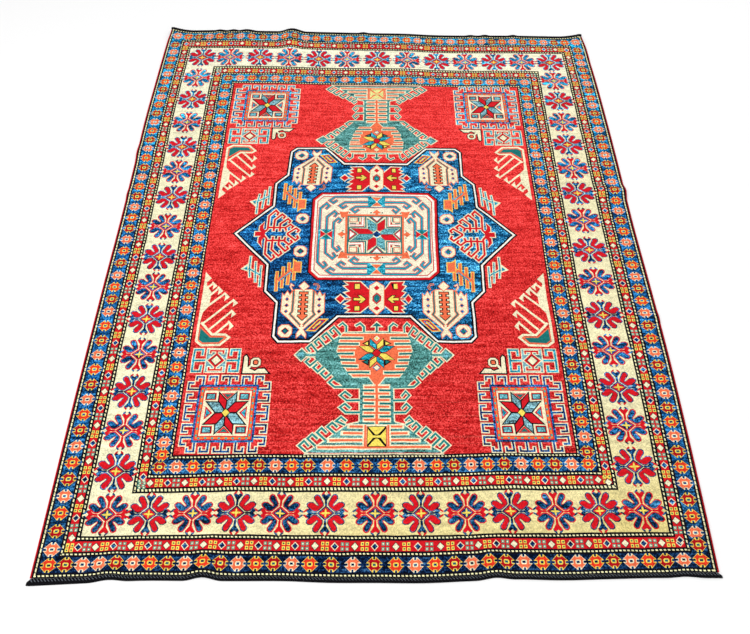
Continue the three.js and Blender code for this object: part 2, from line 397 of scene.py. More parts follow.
def border_rosette(u, v, petal, arm, heart):
    rosette = mirrored(u, v)
    rosette.patch(petal, (14.5, 4.3), (17.2, 4.0), (20.6, 1.6), (19.6, 0.7), (17.6, 1.7), (16, 0), (14, 0))
    rosette.patch(arm, (8, 0), (8, 0.9), (12.2, 0.9), (15, 4), (16.7, 3.2), (17.4, 1.6), (15.6, 0))
    rosette.patch("border cream", (15.8, 0), (17.2, 1.5), (19, 0.7), (21, 0))
    rosette.patch(petal, (4.4, 14.8), (4.0, 17), (1.9, 18.9), (1.0, 17.8), (1.8, 16.6), (0, 15.6), (0, 14))
    rosette.patch(arm, (0, 6.3), (1.1, 6.3), (1.1, 11), (4, 15), (3.2, 16.4), (1.8, 16.6), (0, 15.2))
    rosette.patch("border cream", (0, 15.4), (1.5, 16.5), (0.8, 18), (0, 19.2))
    # a petal's outline, the petal, and the leaf cut into it
    rosette.patch(
        arm, (1.9, 6.0), (2.0, 8.8), (3.5, 11.5), (4.7, 14.0), (6.2, 16.0), (8.9, 16.5), (11.0, 14.8),
        (11.1, 12.3), (10.2, 11.0), (11.6, 10.6), (12.5, 9.6), (15.2, 9.9), (17.6, 8.0), (17.1, 5.6),
        (14.9, 3.7), (12.6, 1.7), (10.2, 1.0), (7.6, 1.2), (5.2, 3.1), (3.2, 4.8),
    )
    rosette.patch(
        petal, (2.7, 6.2), (2.8, 8.5), (4.2, 11.0), (5.4, 13.4), (6.8, 15.1), (8.6, 15.5), (10.0, 14.1),
        (10.1, 12.6), (8.9, 10.6), (7.2, 8.5), (6.3, 6.9), (6.9, 5.8), (8.0, 6.2), (10.3, 8.0), (12.6, 9.0),
        (14.8, 9.0), (16.6, 7.6), (16.2, 6.0), (14.2, 4.5), (12.1, 2.6), (10.2, 1.9), (8.1, 2.1), (5.8, 3.8),
        (3.7, 5.4),
    )
    rosette.patch(
        "border cream", (7.4, 6.4), (9.0, 7.4), (11.9, 9.7), (12.6, 10.3), (11.6, 11.2), (10.6, 11.2),
        (8.6, 9.0), (7.0, 7.1),
    )
    rosette.patch(arm, (0, 6.5), (0, 0), (8.1, 0))
    rosette.patch(heart, (0, 4.9), (0, 0), (6.1, 0))
    rosette.patch("yellow", (0, 0), (2.2, 0.9), (4.8, 0))
    rosette.patch("yellow", (0, 0), (0.9, 1.9), (0, 4.0))
    rosette.patch("yellow", (0, 0), (1.3, 0), (1.3, 1), (0, 1))


for column in range(13):
    for row in range(16):
        if 0 < column < 12 and 0 < row < 15:
            continue
        u, v = 40 * (column - 6), 40 * (7.5 - row)
        if row in (0, 15):
            u = unlaid(u + (NEAR_SLIPS if row else FAR_SLIPS)[column] * 0.001 / KNOT, v)[0]
        if column in (0, 12):
            v = unlaid(u, v + (RIGHT_SLIPS if column else LEFT_SLIPS)[row] * 0.001 / KNOT)[1]
        if (column + row) % 2:
            border_rosette(u, v, "petal blue", "petal red", "navy")
        else:
            border_rosette(u, v, "petal red", "arm blue", "petal red")


# Small border rosettes
# Notched rosettes fill the two blue borders, three kinds in turn on a navy cross. Where two runs
# of the weaver's count meet, the turn changes.

# each kind's edge, ground, ring and middle
SMALL_ROSETTES = (
    ("yellow", "scarlet", "yellow", "navy"),
    ("yellow", "dark red", "yellow", "deep teal"),
    ("cream", "coral", "cream", "navy"),
)


def small_rosette(u, v, kind):
    edge, ground, ring, core = SMALL_ROSETTES[kind]
    rosette = mirrored(u, v)
    rosette.patch("navy", (0, 0), (8.3, 0), (8.3, 1.2), (2.6, 6.6), (0, 6.6))
    rosette.patch(
        edge, (0, 0), (4.6, 0), (4.6, 0.9), (7.2, 1.0), (1.8, 6.0), (0.9, 6.0), (0.9, 4.2), (0, 4.2)
    )
    rosette.patch(ground, (0, 0), (4.2, 0), (4.2, 1.5), (6.2, 1.6), (2.0, 5.3), (1.5, 3.9), (0, 3.8))
    eye = Chart(at(u, v))
    eye.patch(
        ring, (-2.4, -0.9), (-1.5, -1.8), (1.5, -1.8), (2.4, -0.9),
        (2.4, 0.9), (1.5, 1.8), (-1.5, 1.8), (-2.4, 0.9),
    )
    eye.block(core, -1.3, -0.9, 1.3, 0.9)


def run(first, places):
    """Places of a run of figures, evenly spaced between a few (count, place) pairs."""
    for count in range(first, places[-1][0] + 1):
        i = min(max(bisect_right([p[0] for p in places], count) - 1, 0), len(places) - 2)
        (a, at_a), (b, at_b) = places[i], places[i + 1]
        yield count, between(count, a, b, at_a, at_b)


# the row or column, the kinds in their order, and the (count, place) pairs of the run along it
for v, kinds, places in (
    (
        -342, "012212012012012012102012012012012012012",
        ((0, -277.5), (5, -207.4), (8, -163.5), (14, -72.8), (15, -57.2), (19, 16.3), (22, 66.7), (26, 126.6),
         (30, 188.9), (36, 280.5)),
    ),
    (-258, "12012012012010120120120120", ((0, -198.9), (9, -63.1), (13, 7.5), (17, 71.6), (25, 196.8))),
    (
        258, "120" * 9,
        ((0, -199.2), (4, -136), (7, -90), (10, -42.7), (13, 10.8), (14, 27), (18, 90.6), (25, 199.9)),
    ),
    (
        342, "201" * 6 + "2" + "210" * 7,
        ((0, -279.2), (6, -192.3), (9, -144.2), (13, -85.6), (16, -38.2), (20, 26.9), (25, 104.5), (33, 222),
         (37, 282.4)),
    ),
):
    for count, u in run(0, places):
        small_rosette(unlaid(u, v)[0], v, int(kinds[count]))
for u, kinds, places in (
    (
        -280.5, "021",
        ((1, -328.9), (7, -239.6), (11, -178.3), (14, -130.5), (16, -96.9), (19, -52), (21, -20), (27, 71.8),
         (31, 131.4), (36, 208.8), (38, 237.3), (44, 326.6)),
    ),
    (
        280.5, "012",
        ((2, -317.8), (4, -289.3), (8, -230.6), (10, -202.3), (18, -82), (25, 25), (27, 54.6), (38, 214.5),
         (41, 256.1), (46, 323.7)),
    ),
    (
        -200, "102",
        ((2, -236.1), (7, -159.5), (9, -128.2), (11, -94.5), (13, -64.5), (20, 45.2), (24, 104.9),
         (27, 151.7), (29, 181.7), (33, 244.5)),
    ),
    (
        200, "012",
        ((1, -245.6), (5, -187.5), (8, -141.3), (9, -127.7), (10, -112.7), (14, -52.5), (19, 24.6), (22, 69),
         (34, 242)),
    ),
):
    for count, v in run(places[0][0], places):
        small_rosette(u, unlaid(u, v)[1], int(kinds[count % 3]))
small_rosette(280.5, unlaid(280.5, -327.6)[1], 1)
small_rosette(-200, unlaid(-200, -247.6)[1], 0)


# Guard stripes
# A pale diamond, four yellow squares, a navy diamond and four grey-green squares follow one another
# on the red guard stripes, and the order turns round where two runs meet.


def guard_figure(u, v, kind):
    figure = Chart(at(u, v))
    if kind == 0:
        figure.lozenges(0, 0, ("black", 3.7, 3.8), ("cream", 3, 3.1))
    elif kind == 2:
        figure.lozenges(0, 0, ("cream", 3.4, 3.5), ("navy", 2.5, 2.6))
    else:
        ground, dot = ("yellow", "green") if kind == 1 else ("guard teal", "cream")
        for a in (-2, 2):
            for b in (-2, 2):
                figure.block(ground, a - 1.4, b - 1.4, a + 1.4, b + 1.4)
                figure.lozenge(dot, a, b, 0.9, 0.9)


# the row or column, the kinds in their order, and the (count, place) pairs of the run along it
for v, kinds, places in (
    (
        -327.5, "0123",
        ((1, -263.6), (10, -196.9), (26, -70.7), (34, -1.8), (37, 25.8), (40, 55.3), (42, 72.8), (49, 127.6),
         (56, 185.2), (66, 265.3)),
    ),
    (-272.5, "0123" * 7 + "03", ((3, -212.8), (16, -111.4), (23, -53.7), (29, -1.4))),
    (-272.5, "0123", ((0, 7.6), (12, 104.8), (25, 211.5))),
    (
        327.5, "0123",
        ((2, -265.7), (12, -188.3), (19, -130.2), (25, -83.7), (30, -43.4), (32, -25.5), (35, 3.7)),
    ),
    (327.5, "0123", ((2, 13.9), (13, 103.2), (29, 227.8), (34, 267.9))),
    (
        272.5, "0123",
        ((-1, -213.3), (3, -181.5), (9, -131.4), (20, -41.7), (22, -25.1), (26, 10.3), (35, 84.9),
         (51, 214.2)),
    ),
):
    for count, u in run(places[0][0], places):
        guard_figure(unlaid(u, v)[0], v, int(kinds[count % len(kinds)]))
for u, kinds, places in (
    (
        -266, "1032",
        ((0, -327.9), (11, -236.5), (19, -168.6), (29, -79.5), (44, 47.9), (51, 105.8), (58, 165.6)),
    ),
    (-266, "0123", ((0, 173.8), (4, 209.2), (10, 259.4), (18, 328.9))),
    (
        266, "0123",
        ((2, -323.7), (13, -233.7), (16, -211.1), (19, -187), (29, -103.7), (35, -51.6), (46, 39.8),
         (68, 216), (74, 263.1), (82, 324.1)),
    ),
    (
        -214, "3210",
        ((0, -275.1), (1, -267.6), (13, -166.1), (16, -140.2), (20, -104.2), (32, -0.4), (38, 50.6),
         (46, 117.2), (52, 168.6)),
    ),
    (-214, "0123", ((0, 176.8), (10, 268.4), (11, 276.8))),
    (
        214, "0123",
        ((0, -273.8), (2, -258.8), (10, -194.7), (16, -144.2), (23, -86.6), (38, 40.1), (55, 175.5),
         (61, 222.3), (67, 271.8)),
    ),
):
    for count, v in run(places[0][0], places):
        guard_figure(u, unlaid(u, v)[1], int(kinds[count % 4]))


# Field
# The red field is one pattern mirrored in four quarters. It is charted outwards from its middle,
# which the weaver reached a little late, and the rows drifted sideways as the work went on.

MIDDLE_ROW = 4

# row, then how far outwards the figures stand off their places there: on the left near the middle
# and further out, on the right the same, and up the rug near the middle and further out, all in knots
FIELD_DRIFT = (
    (-248, 0, 0, -5, -3, 0, 0),
    (-207, 0, 0, -5.3, -4.5, 0, 0.3),
    (-150, 0, 0, -5.5, -3.5, 0, 0),
    (-105, 0, 0, -6.4, -4, -0.8, -0.3),
    (-55, 0, 0, -6.2, -3.5, 0, 0),
    (4, 0, 0, -5.8, -3.1, 0, 0),
    (32, 0, 0, -5, -2.6, -1.2, -2.4),
    (60, 0, 0, -4, -2, 0.3, -0.8),
    (93, -0.3, 0.4, -3.4, -3, -1.3, -1.8),
    (110, -2, -1.5, -4.5, -4, 0.5, -3.6),
    (139, -6, -2, -8, -3, -2.4, -4.6),
    (152, -9.6, -2, -9, -1, -4, -5.5),
    (189, -8, -2, -8, -1.5, -7.6, -6.6),
    (215, -8, -2.5, -8, -1.5, -5.4, -5.8),
    (256, -7.5, -2.5, -8, -1.5, -7, -7),
)


def drift(column, row):
    """Where a place of the even pattern stands on the chart; its outermost columns don't drift."""
    row = min(max(row, FIELD_DRIFT[0][0]), FIELD_DRIFT[-1][0])
    i = min(bisect_right([d[0] for d in FIELD_DRIFT], row) - 1, len(FIELD_DRIFT) - 2)
    a, b = FIELD_DRIFT[i], FIELD_DRIFT[i + 1]
    _, left, left_out, right, right_out, up, up_out = (between(row, a[0], b[0], p, q) for p, q in zip(a, b))
    inner, outer = (left, left_out) if column < 0 else (right, right_out)
    off = abs(column)
    if off < 75:
        still, full = (5, 40) if abs(row) < 62 else (20, 45)
        moved = inner * min(max((off - still) / (full - still), 0), 1)
    elif off < 105:
        moved = between(off, 75, 105, inner, outer)
    else:
        moved = outer * min(max((188 - off) / 18, 0), 1)
    raised = between(min(max(off, 45), 75), 45, 75, up, up_out)
    seen = column + (moved if column > 0 else -moved), row + raised
    charted = unlaid(*seen)
    return between(min(max(off, 170), 188), 170, 188, charted[0], seen[0]), charted[1]


def quarter(side, end, u0=0, v0=0, turn_u=1, turn_v=1):
    """One quarter of the field, or a spot in it that has quarters of its own."""
    return lambda u, v: drift(side * (u0 + turn_u * u), MIDDLE_ROW + end * (v0 + turn_v * v))


field = Chart(*(quarter(side, end) for side in (-1, 1) for end in (-1, 1)))


def spot(u0, v0, turn_u=1, turn_v=1):
    return Chart(*(quarter(side, end, u0, v0, turn_u, turn_v) for side in (-1, 1) for end in (-1, 1)))


# Medallion
# A blue medallion with pointed sides lies in the middle of the field, outlined in white and black.

MEDALLION = (
    (160, 0), (120, 41.5), (119.5, 75), (106, 89), (106.5, 129), (101, 135), (69, 135), (41, 105), (0, 105)
)

field.patch("medallion blue", (0, 0), *MEDALLION)
field.line("black", 5.4, (120, -41.5), *MEDALLION)
field.line("white", 1.9, (120, -41.5), *MEDALLION)

# a branching tree in each pointed side: its edge first, which stands out a little more, then the tree itself
for dye, width, more in (("cream", 4.6, 1.1), ("figure red", 2.4, 0)):
    for branch in (
        ((128, 2), (124.3, 7), (124.3, 27.5), (117, 35.3), (113.6, 31.8), (115.6, 28.2 - more)),
        ((117.3, 4.2 - more), (117.3, 21.5), (109.2, 30), (105.8, 27), (107.8, 23.2 - more)),
        ((110.3, 4.2 - more), (110.3, 15), (102.3, 23.5), (99, 20.2), (101.2, 16.4 - more)),
        ((124.3, 9.4), (104.5, 9.4)),
        ((103, 4.6 - more), (104.4, 9.4), (98.8, 14.7), (95.2, 11.2), (97.4, 8 - more)),
        ((101, -1), (101, 1), (91.8, 8.8), (88.6, 5.6), (90.6, 2 - more)),
    ):
        field.line(dye, width, *branch)
    field.block(dye, 131.4, -0.5, 138 + more, 3.2 + more)
    field.patch(
        dye, (127, 0), (132, 0), (131.5, 3.4), (133.6 + more, 5), (133.6 + more, 12), (128.3, 18.6 + more),
        (129.8 - more, 11), (129, 7), (126 - more, 4.5),
    )

# an orange comb
field.outlined(
    "coral", 2.2, "gold", 0.9,
    ((108.8, 51), (108.2, 75)),
    ((102.5, 45), (102.3, 71)),
    ((96.3, 39.5), (96.3, 67)),
    ((90.3, 37), (90.3, 61)),
    ((91.5, 47), (107, 62)),
)
field.patch("gold", (92.5, 33), (92.5, 51.5), (82.5, 51.5), (82.5, 37.5), (88.5, 37.3))
field.patch("coral", (91.5, 36), (91.5, 50.5), (83.6, 50.5), (83.6, 38.6), (88.6, 38.4))
field.line("coral", 4.2, (93, 49), (107, 62))
field.line("pale blue", 1.5, (94, 51), (104.5, 61.5))

# a pale comb, on the red outside the medallion
field.outlined(
    "pale blue", 1.5, "cream", 1.0,
    ((139.5, 31), (139.5, 46), (138, 58)),
    ((133.5, 38), (132.5, 52), (131.5, 64)),
    ((127, 43.5), (126.6, 69.5)),
    ((144, 47.2), (139, 47.8), (127, 55)),
)
field.patch("cream", (149, 47.5), (141.2, 40), (140.5, 51))
field.patch("pale blue", (145.8, 47.4), (141.8, 43.6), (141.2, 49.2))

# two octagons
for u, v in ((85.3, 23.7), (95, 123)):
    field.octagon("coral", u, v, 7.6)
    field.octagon("cream", u, v, 6.8)
    field.lozenges(u, v, ("coral", 4.6, 4.6), ("navy", 3.8, 3.8), ("teal", 2.4, 2.4))

# a crowned shield with a toothed column, on a forked foot
shield = spot(78.2, 0)
for dye, out in (("coral", 0.8), ("cream", 0)):
    for way in (1, -1):
        shield.patch(
            dye, (0, 73.5 - out), (9 * way, 73.5 - out), ((12.4 + out) * way, 77 - out * 2),
            (14.6 * way, 80.8 - out * 2), (17.2 * way, 75.5 - out * 2), (20.3 * way, 81.4 - out * 2),
            ((22.4 + out) * way, 78.5 - out * 2), ((22.4 + out) * way, 100.4 + out / 2),
            ((1.6 + out) * way, 121.4), ((4.8 + out) * way, 126.5), ((4.2 + out) * way, 130.8 + out * 2),
            (0, 126.2 + out),
        )
for way in (1, -1):
    shield.outlined(
        "teal", 1.5, "coral", 0.7,
        ((10.8 * way, 75), (10.8 * way, 100), (12.8 * way, 103.2), (1.8 * way, 115.8)),
    )
    shield.patch("figure red", (0.6 * way, 118.5), (2.4 * way, 116), (2.6 * way, 118.4))
    for v in (85, 92.5, 99.7):
        shield.lozenges(17.2 * way, v, ("coral", 2.5, 2.7), ("navy", 1.8, 1.9))
    shield.patch("black", (0, 75.5), (5.4 * way, 75.5), (5.4 * way, 105), (6.6 * way, 104.4), (0, 111.4))
    for tooth in range(5):
        v = 80.3 + 5.5 * tooth
        shield.block("cream", 2.9 * way, v - 0.9, 5.7 * way, v + 0.9)
        shield.block("coral", 0, v - 3.8, 4.5 * way, v - 1.6)
    shield.patch("coral", (0, 76.5), (1.5 * way, 76.5), (1.5 * way, 103.6), (5.4 * way, 104.2), (0, 110))
shield.lozenges(0.2, 69, ("coral", 6.2, 6.6), ("cream", 5.2, 5.5))
shield.outlined("teal", 0.9, "coral", 0.7, ((-10.5, 66.4), (-14, 66.6), (-16, 69.6), (-14.5, 72.6)))
shield.outlined("cream", 0.9, "coral", 0.6, ((11.5, 68.5), (14, 66.8), (14.6, 70), (12.4, 74)))

# a slanted bar
field.patch("gold", (74, 123.2), (60.6, 108.2), (50, 108.2), (63.6, 123.8))
field.patch("figure red", (71.3, 122.2), (60.6, 109.4), (52.6, 109.4), (63.6, 122.6))
field.patch("navy", (69.3, 121.6), (60.2, 110.6), (55.2, 110.6), (63.9, 121.4))
field.line("gold", 2.0, (66.4, 120.3), (58.2, 111.6))

# a butterfly with a diamond head
WINGS = (
    (6, 73.6), (6, 91.6), (9, 92.8), (17.5, 100.6), (31.8, 100.3), (27.5, 97.1), (32.8, 95.4), (28, 92.4),
    (34, 90.8), (28, 86.6), (28, 82.4), (34.4, 77), (28.5, 75.3), (35.2, 69), (29.5, 67.5), (35.4, 63),
    (31, 63.6), (17.5, 63.6), (9.5, 72.4),
)
field.edged("figure red", "cream", 2.4, WINGS)
field.line("cream", 3.0, (27, 84.4), (35, 84.4))
field.line("figure red", 1.6, (27, 84.4), (36, 84.4))
field.lozenges(38.8, 84.4, ("cream", 6.2, 6.2), ("figure red", 4.7, 4.7))
for v, half in ((69, 2.9), (95.8, 2.5)):
    field.block("black", 17.7, v - half - 0.8, 24.3, v + half + 0.8)
    field.block("yellow", 18.5, v - half, 23.5, v + half)
ARROW = (
    (19.6, 80.3), (16.8, 80.3), (11.8, 84.8), (16.4, 88.8), (19, 88.8), (16.6, 86), (24.6, 86), (24.6, 83.4),
    (17, 83.4),
)
field.edged("yellow", "black", 1.6, ARROW)

# a hexagon between each two butterflies
field.patch("coral", (0, 62.2), (8.3, 68), (8.3, 96), (0, 104.4))
field.patch("cream", (0, 63.2), (7.6, 68.5), (7.6, 95.4), (0, 103))
field.patch("figure red", (0, 67.4), (3.4, 70.8), (0, 74))
field.patch("figure red", (0, 76.6), (4.6, 81), (4.6, 86.5), (0, 91))
field.patch("teal", (0, 78.4), (3.3, 81.8), (3.3, 85.6), (0, 89.2))
field.patch("pale blue", (0, 81), (1.3, 83.5), (0, 86))
field.patch("figure red", (0, 92.8), (3.4, 95.8), (0, 98.6))


# Inner room
# A cream room with cut corners fills the medallion's middle, with nested hooked lines round a star panel.

field.patch("room cream", (0, 0), (73, 0), (73, 50), (64, 58.8), (0, 59.4))
field.line("black", 3.6, (74.4, -5), (74.4, 50.6), (64.8, 60), (-5, 60.6))
field.line("figure red", 2.6, (73.4, -5), (73.4, 50.4), (64.4, 59.2), (-5, 59.8))
field.line("white", 1.8, (70.6, 0), (70.6, 49), (62.9, 56.6), (0, 57.1))
field.line("figure red", 1.0, (69.0, 0), (69.0, 48.3), (62.2, 55), (0, 55.5))
field.outlined(
    "room teal", 2.3, "figure red", 0.8,
    ((65.5, -4), (65.5, 38), (58.7, 45), (55.6, 41.6), (58.8, 37.2)),
    ((57.3, 6), (57.3, 25.5), (49.2, 33.4), (46.2, 30.2), (48.7, 25.8)),
    ((49.4, -4), (49.4, 17.6), (44.2, 23.4), (41.3, 20.6), (43.7, 16.6)),
    ((-4, 54), (49, 54), (55, 49), (51, 45.4), (46.8, 48.8)),
    ((8, 46.2), (37, 46.2), (43.4, 41.4), (39.6, 38), (35.2, 41.2)),
    ((-4, 40), (24.4, 40), (29.6, 36), (25.2, 32), (20.8, 35.8)),
)

# bow ties at the middles of its sides
field.block("pale blue", 48.6, -7, 66.3, 7)
field.patch("teal", (52, 0), (57.3, -6.6), (62.6, 0), (57.3, 6.6))
for way in (1, -1):
    tie = spot(57.3, 0, way)
    tie.patch("cream", (0, 0), (7.3, -7), (7.3, -5.3), (1, 0), (7.3, 5.3), (7.3, 7))
    tie.patch("figure red", (0.3, 0), (6.7, -5), (6.7, 5))
field.block("pale blue", 0, 39.2, 10.5, 54.8)
field.patch("cream", (0, 47.2), (7.4, 39.8), (-1, 39.8), (-1, 54.6), (7.4, 54.6))
field.patch("coral", (0, 46.6), (5.6, 41.2), (-1, 41.2))
field.patch("coral", (0, 47.8), (5.6, 53.2), (-1, 53.2))

# the panel, its corners and the arrowheads at its sides
field.block("coral", 0, 0, 36.2, 29.3)
field.block("teal", 0, 0, 33.6, 26.9)
field.block("cream", 0, 0, 31.9, 25.2)
field.block("teal", 11.8, 9.2, 31.9, 25.2)
field.block("cream", 13.4, 10.8, 31.9, 25.2)
field.line("figure red", 3.8, (30.6, 13.4), (16.4, 12.6), (15.8, 25))
field.line("white", 2.2, (31, 13.5), (16.4, 12.7), (15.9, 25.2))
field.line("teal", 1.4, (31, 16.3), (24, 15.6))
field.line("teal", 1.6, (20.6, 25), (20.8, 18.2))
field.lozenge("dark red", 19.4, 16.4, 1.4, 2.2)
field.block("figure red", 22, 17.6, 31.2, 25)
field.block("cream", 22.9, 18.5, 30.4, 24.2)
field.patch("teal", (31.9, -9.6), (31.9, 9.6), (21.6, 0))
field.patch("figure red", (31.4, -7.4), (31.4, 7.4), (23.2, 0))
field.patch("white", (30.5, -4.8), (30.5, 4.8), (25.2, 0))
field.patch("teal", (-9, 25.2), (9, 25.2), (0, 15.6))
field.patch("dark red", (-6.8, 25.2), (6.8, 25.2), (0, 17.6))
field.patch("white", (-4.8, 25.2), (4.8, 25.2), (0, 19.4))

# the star in it, and the arrows outside it
for side in (-1, 1):
    for end in (-1, 1):
        lobes = Chart(quarter(side, end))
        up_dye, side_dye = ("figure red", "pale teal") if side == end else ("pale teal", "figure red")
        lobes.edged(up_dye, "teal", 1.0, ((3.5, 4.3), (9.6, 8.2), (10.4, 22.5), (0.7, 15), (0.7, 6.2)))
        lobes.edged(side_dye, "teal", 1.0, ((5.2, 0.5), (4.8, 2.8), (10.2, 8), (29, 8.6), (20.6, 0.5)))
field.patch("navy", (0, 0), (5.2, 0), (0, 5))
field.patch("coral", (36, 0), (36, 1.6), (38, 1.6), (39.6, 4.2), (45, 0))
field.patch("coral", (0, 29), (1.6, 29), (1.6, 31), (5.4, 31), (0, 36.2))
field.patch(
    "coral", (35, 28), (37, 24.6), (40.5, 24.2), (41.8, 28), (43.6, 33.4), (38, 32.6), (32, 33.4), (33, 30)
)
for u, v in ((38.8, 5), (6.6, 31.6), (38.6, 23.8), (43.6, 29.6), (31.2, 31.2)):
    field.lozenge("black", u, v, 1.1, 1.1)


# Pendants
# A teal pendant hangs from each end of the medallion, edged with hooks, with coral stripes, a flower,
# a striped waist and a stepped foot that stands on the border.

PENDANT = (
    (0, 123.5), (33, 124.3), (64.5, 149), (64.5, 151.5), (33, 184.6), (17, 185.5), (16.4, 187), (16.4, 219.5),
    (17.5, 221), (27, 223), (57, 244.6), (66, 250),
)
field.lozenge("cream", 76.2, 150.3, 7.9, 8.2)
field.line("cream", 2.4, *PENDANT)
hooks = []
for k in range(4):
    u, v = 44.5 + 7.5 * k, 118 + 6.8 * k
    hooks.append(((u - 8.5, v + 10.5), (u, v), (u + 4.2, v + 4.3), (u + 0.8, v + 8.2)))
for k in range(3):
    u, v = 67 - 8 * k, 162.4 + 6.5 * k
    hooks.append(((u - 8, v - 8), (u, v), (u + 4.6, v - 4.6), (u + 1, v - 8.4)))
hooks += (
    ((17, 185), (41.5, 185), (47.4, 180), (43, 175.4), (37.4, 179.6)),
    ((16, 198.8), (29.5, 198.8), (35.5, 193.6), (31, 189.6), (25.2, 194.6)),
    ((16, 211), (30, 211), (35.8, 206), (31, 202.2), (25.6, 207)),
    ((30, 223.5), (38.8, 219.8), (34.3, 215.8), (29.3, 219.7)),
    ((38.5, 232.5), (46.8, 225.3), (42.3, 221.2), (37.3, 225.7)),
    ((47.8, 238.5), (56.5, 230.8), (52.2, 226.5), (47.3, 231)),
    ((57, 244), (65.3, 236.6), (60.8, 232.3), (55.7, 236.8)),
    ((66, 249), (73, 243.2), (68.5, 238.8), (63.5, 243.8)),
    ((13.3, 124), (13.3, 117.4), (17.3, 113.5), (22, 116.4)),
    ((31.5, 124), (31.5, 117), (35.5, 113), (39.6, 116.6)),
    ((0, 124), (0, 116)),
)
field.outlined("hook teal", 2.0, "cream", 0.9, *hooks)
field.patch("cream", (0, 110.8), (7, 118.2), (0, 118.2))
field.patch("teal", (0, 112.6), (5, 117.2), (0, 117.2))
field.line("teal", 1.9, (0, 124), (0, 115))
field.patch("pendant teal", *PENDANT, (0, 250))
field.lozenge("pendant teal", 76.2, 150.3, 6.3, 6.7)
field.lozenge("pale teal", 76.2, 150.3, 3.6, 3.9)
field.block("cream", 62, 147.6, 70.4, 153)
field.block("pendant teal", 60, 148.9, 71.4, 151.7)

# the striped shoulders: their coral ground's edge as row, column
SHOULDER = (
    (125.8, 35.2), (131, 37.2), (140, 38.8), (145.5, 40.2), (152.5, 36.4), (160, 34.6), (167, 29.6),
    (174, 23.6),
)
ground = ((-2, 125.8), *((u, v) for v, u in SHOULDER), (8, 174), (1.5, 183), (-2, 183))
field.line("cream", 2.2, *ground)
field.patch("coral", *ground)
for v, start in ((131, 14.5), (137.6, 18.5), (148.9, 23.5), (156, 22), (162.6, 19), (169.4, 7)):
    i = bisect_right([row for row, _ in SHOULDER], v) - 1
    edge = between(v, SHOULDER[i][0], SHOULDER[i + 1][0], SHOULDER[i][1], SHOULDER[i + 1][1])
    field.block("cream", start - 1, v - 2.2, edge + 0.8, v + 2.2)
    field.block("teal", start, v - 1.1, edge + 2.2, v + 1.1)
field.block("cream", 21, 142.5, 40, 144)

# the flower
for v, half_u, half_v, edge, core in (
    (131, 4.4, 4.4, "figure red", "yellow"),
    (164, 4, 3.8, "navy", "cream"),
):
    field.patch(edge, (0, v - half_v), (half_u, v), (0, v + half_v))
    field.patch("cream", (0, v - half_v + 1), (half_u - 1, v), (0, v + half_v - 1))
    field.patch(core, (0, v - 1.6), (1.6, v), (0, v + 1.6))
for v, way, dye in ((137.3, 1, "yellow"), (157.6, -1, "teal")):
    field.patch("black", (7.6, v - 4.6 * way), (15.4, v), (7.6, v + 3.4 * way))
    field.patch(dye, (9, v - 2.4 * way), (13.2, v), (9, v + 1.8 * way))
for side in (-1, 1):
    for way in (-1, 1):
        lobes = Chart(*(quarter(side, end, 0, 147.8, 1, way * end) for end in (-1, 1)))
        up_dye, side_dye = ("yellow", "pale blue") if side == way else ("pale blue", "yellow")
        lobes.edged(up_dye, "black", 1.5, ((0.4, 4.2), (0.4, 9), (6.8, 16), (6.8, 9)))
        lobes.edged(side_dye, "black", 1.5, ((4.4, 0.6), (3.2, 3.0), (8, 7.6), (17.6, 7.4), (9.6, 1.2)))
field.patch("black", (0, 142.4), (5.4, 148), (0, 153.4))
field.patch("figure red", (0, 143.4), (4.6, 148), (0, 152.4))

# the waist
field.block("cream", -2, 182, 13.6, 222)
field.block("coral", -1, 182, 1.3, 224)
for dye, steps, first, left, right in (("coral", 6, 185, 0, 12.4), ("teal", 5, 188.4, 2.6, 14.5)):
    for step in range(steps):
        v = first + 6.68 * step
        field.block(dye, left, v - 1.1, right, v + 1.1)
field.block("teal", 2.6, 220.9, 17, 222.2)

# the foot in steps, and the cross square in it, of different dyes at the two ends
STEPS = ((225, 26), (231.4, 32), (238.2, 44.6))
for v, edge in STEPS:
    field.block("cream", -1, v - 2.3, edge + 2.2, v + 2.3)
field.block("cream", -1, 242.6, 56.6, 247.2)
for v, edge in STEPS:
    field.block("coral", 10, v - 1.1, edge, v + 1.1)
field.block("coral", -1, 243.8, 55.6, 246)
field.block("cream", -1, 223, 13.4, 243.8)
field.block("coral", 10, 223.4, 12, 245)
for v in (228.2, 234.8, 241.4):
    field.block("pendant teal", 13.6, v - 1.1, 30, v + 1.1)
field.block("coral", 8.4, 224.4, 9.8, 244.2)
for end, ground, petal in ((-1, "black", "yellow"), (1, "coral", "pale yellow")):
    foot = Chart(*(quarter(side, end) for side in (-1, 1)))
    foot.block(ground, -1, 224.6, 9, 244.4)
    foot.patch(petal, (-1, 225.2), (8.0, 225.2), (1.6, 232.2), (-1, 232.8))
    foot.patch(petal, (-1, 243.8), (7.8, 243.8), (1.6, 237.0), (-1, 236.4))
    foot.patch(petal, (8.6, 227.0), (8.6, 242.0), (3.6, 235.9), (0, 235.5), (0, 233.7), (3.6, 233.3))
field.block("pendant teal", -1, 247.6, 62, 250)
field.line("cream", 1.0, (0, 251.2), (68, 251.2))


# Corner figures
# In each corner of the field: a hooked key box, a bird, a comb-like claw and, at the very corner,
# a star box in a wreath of keys.

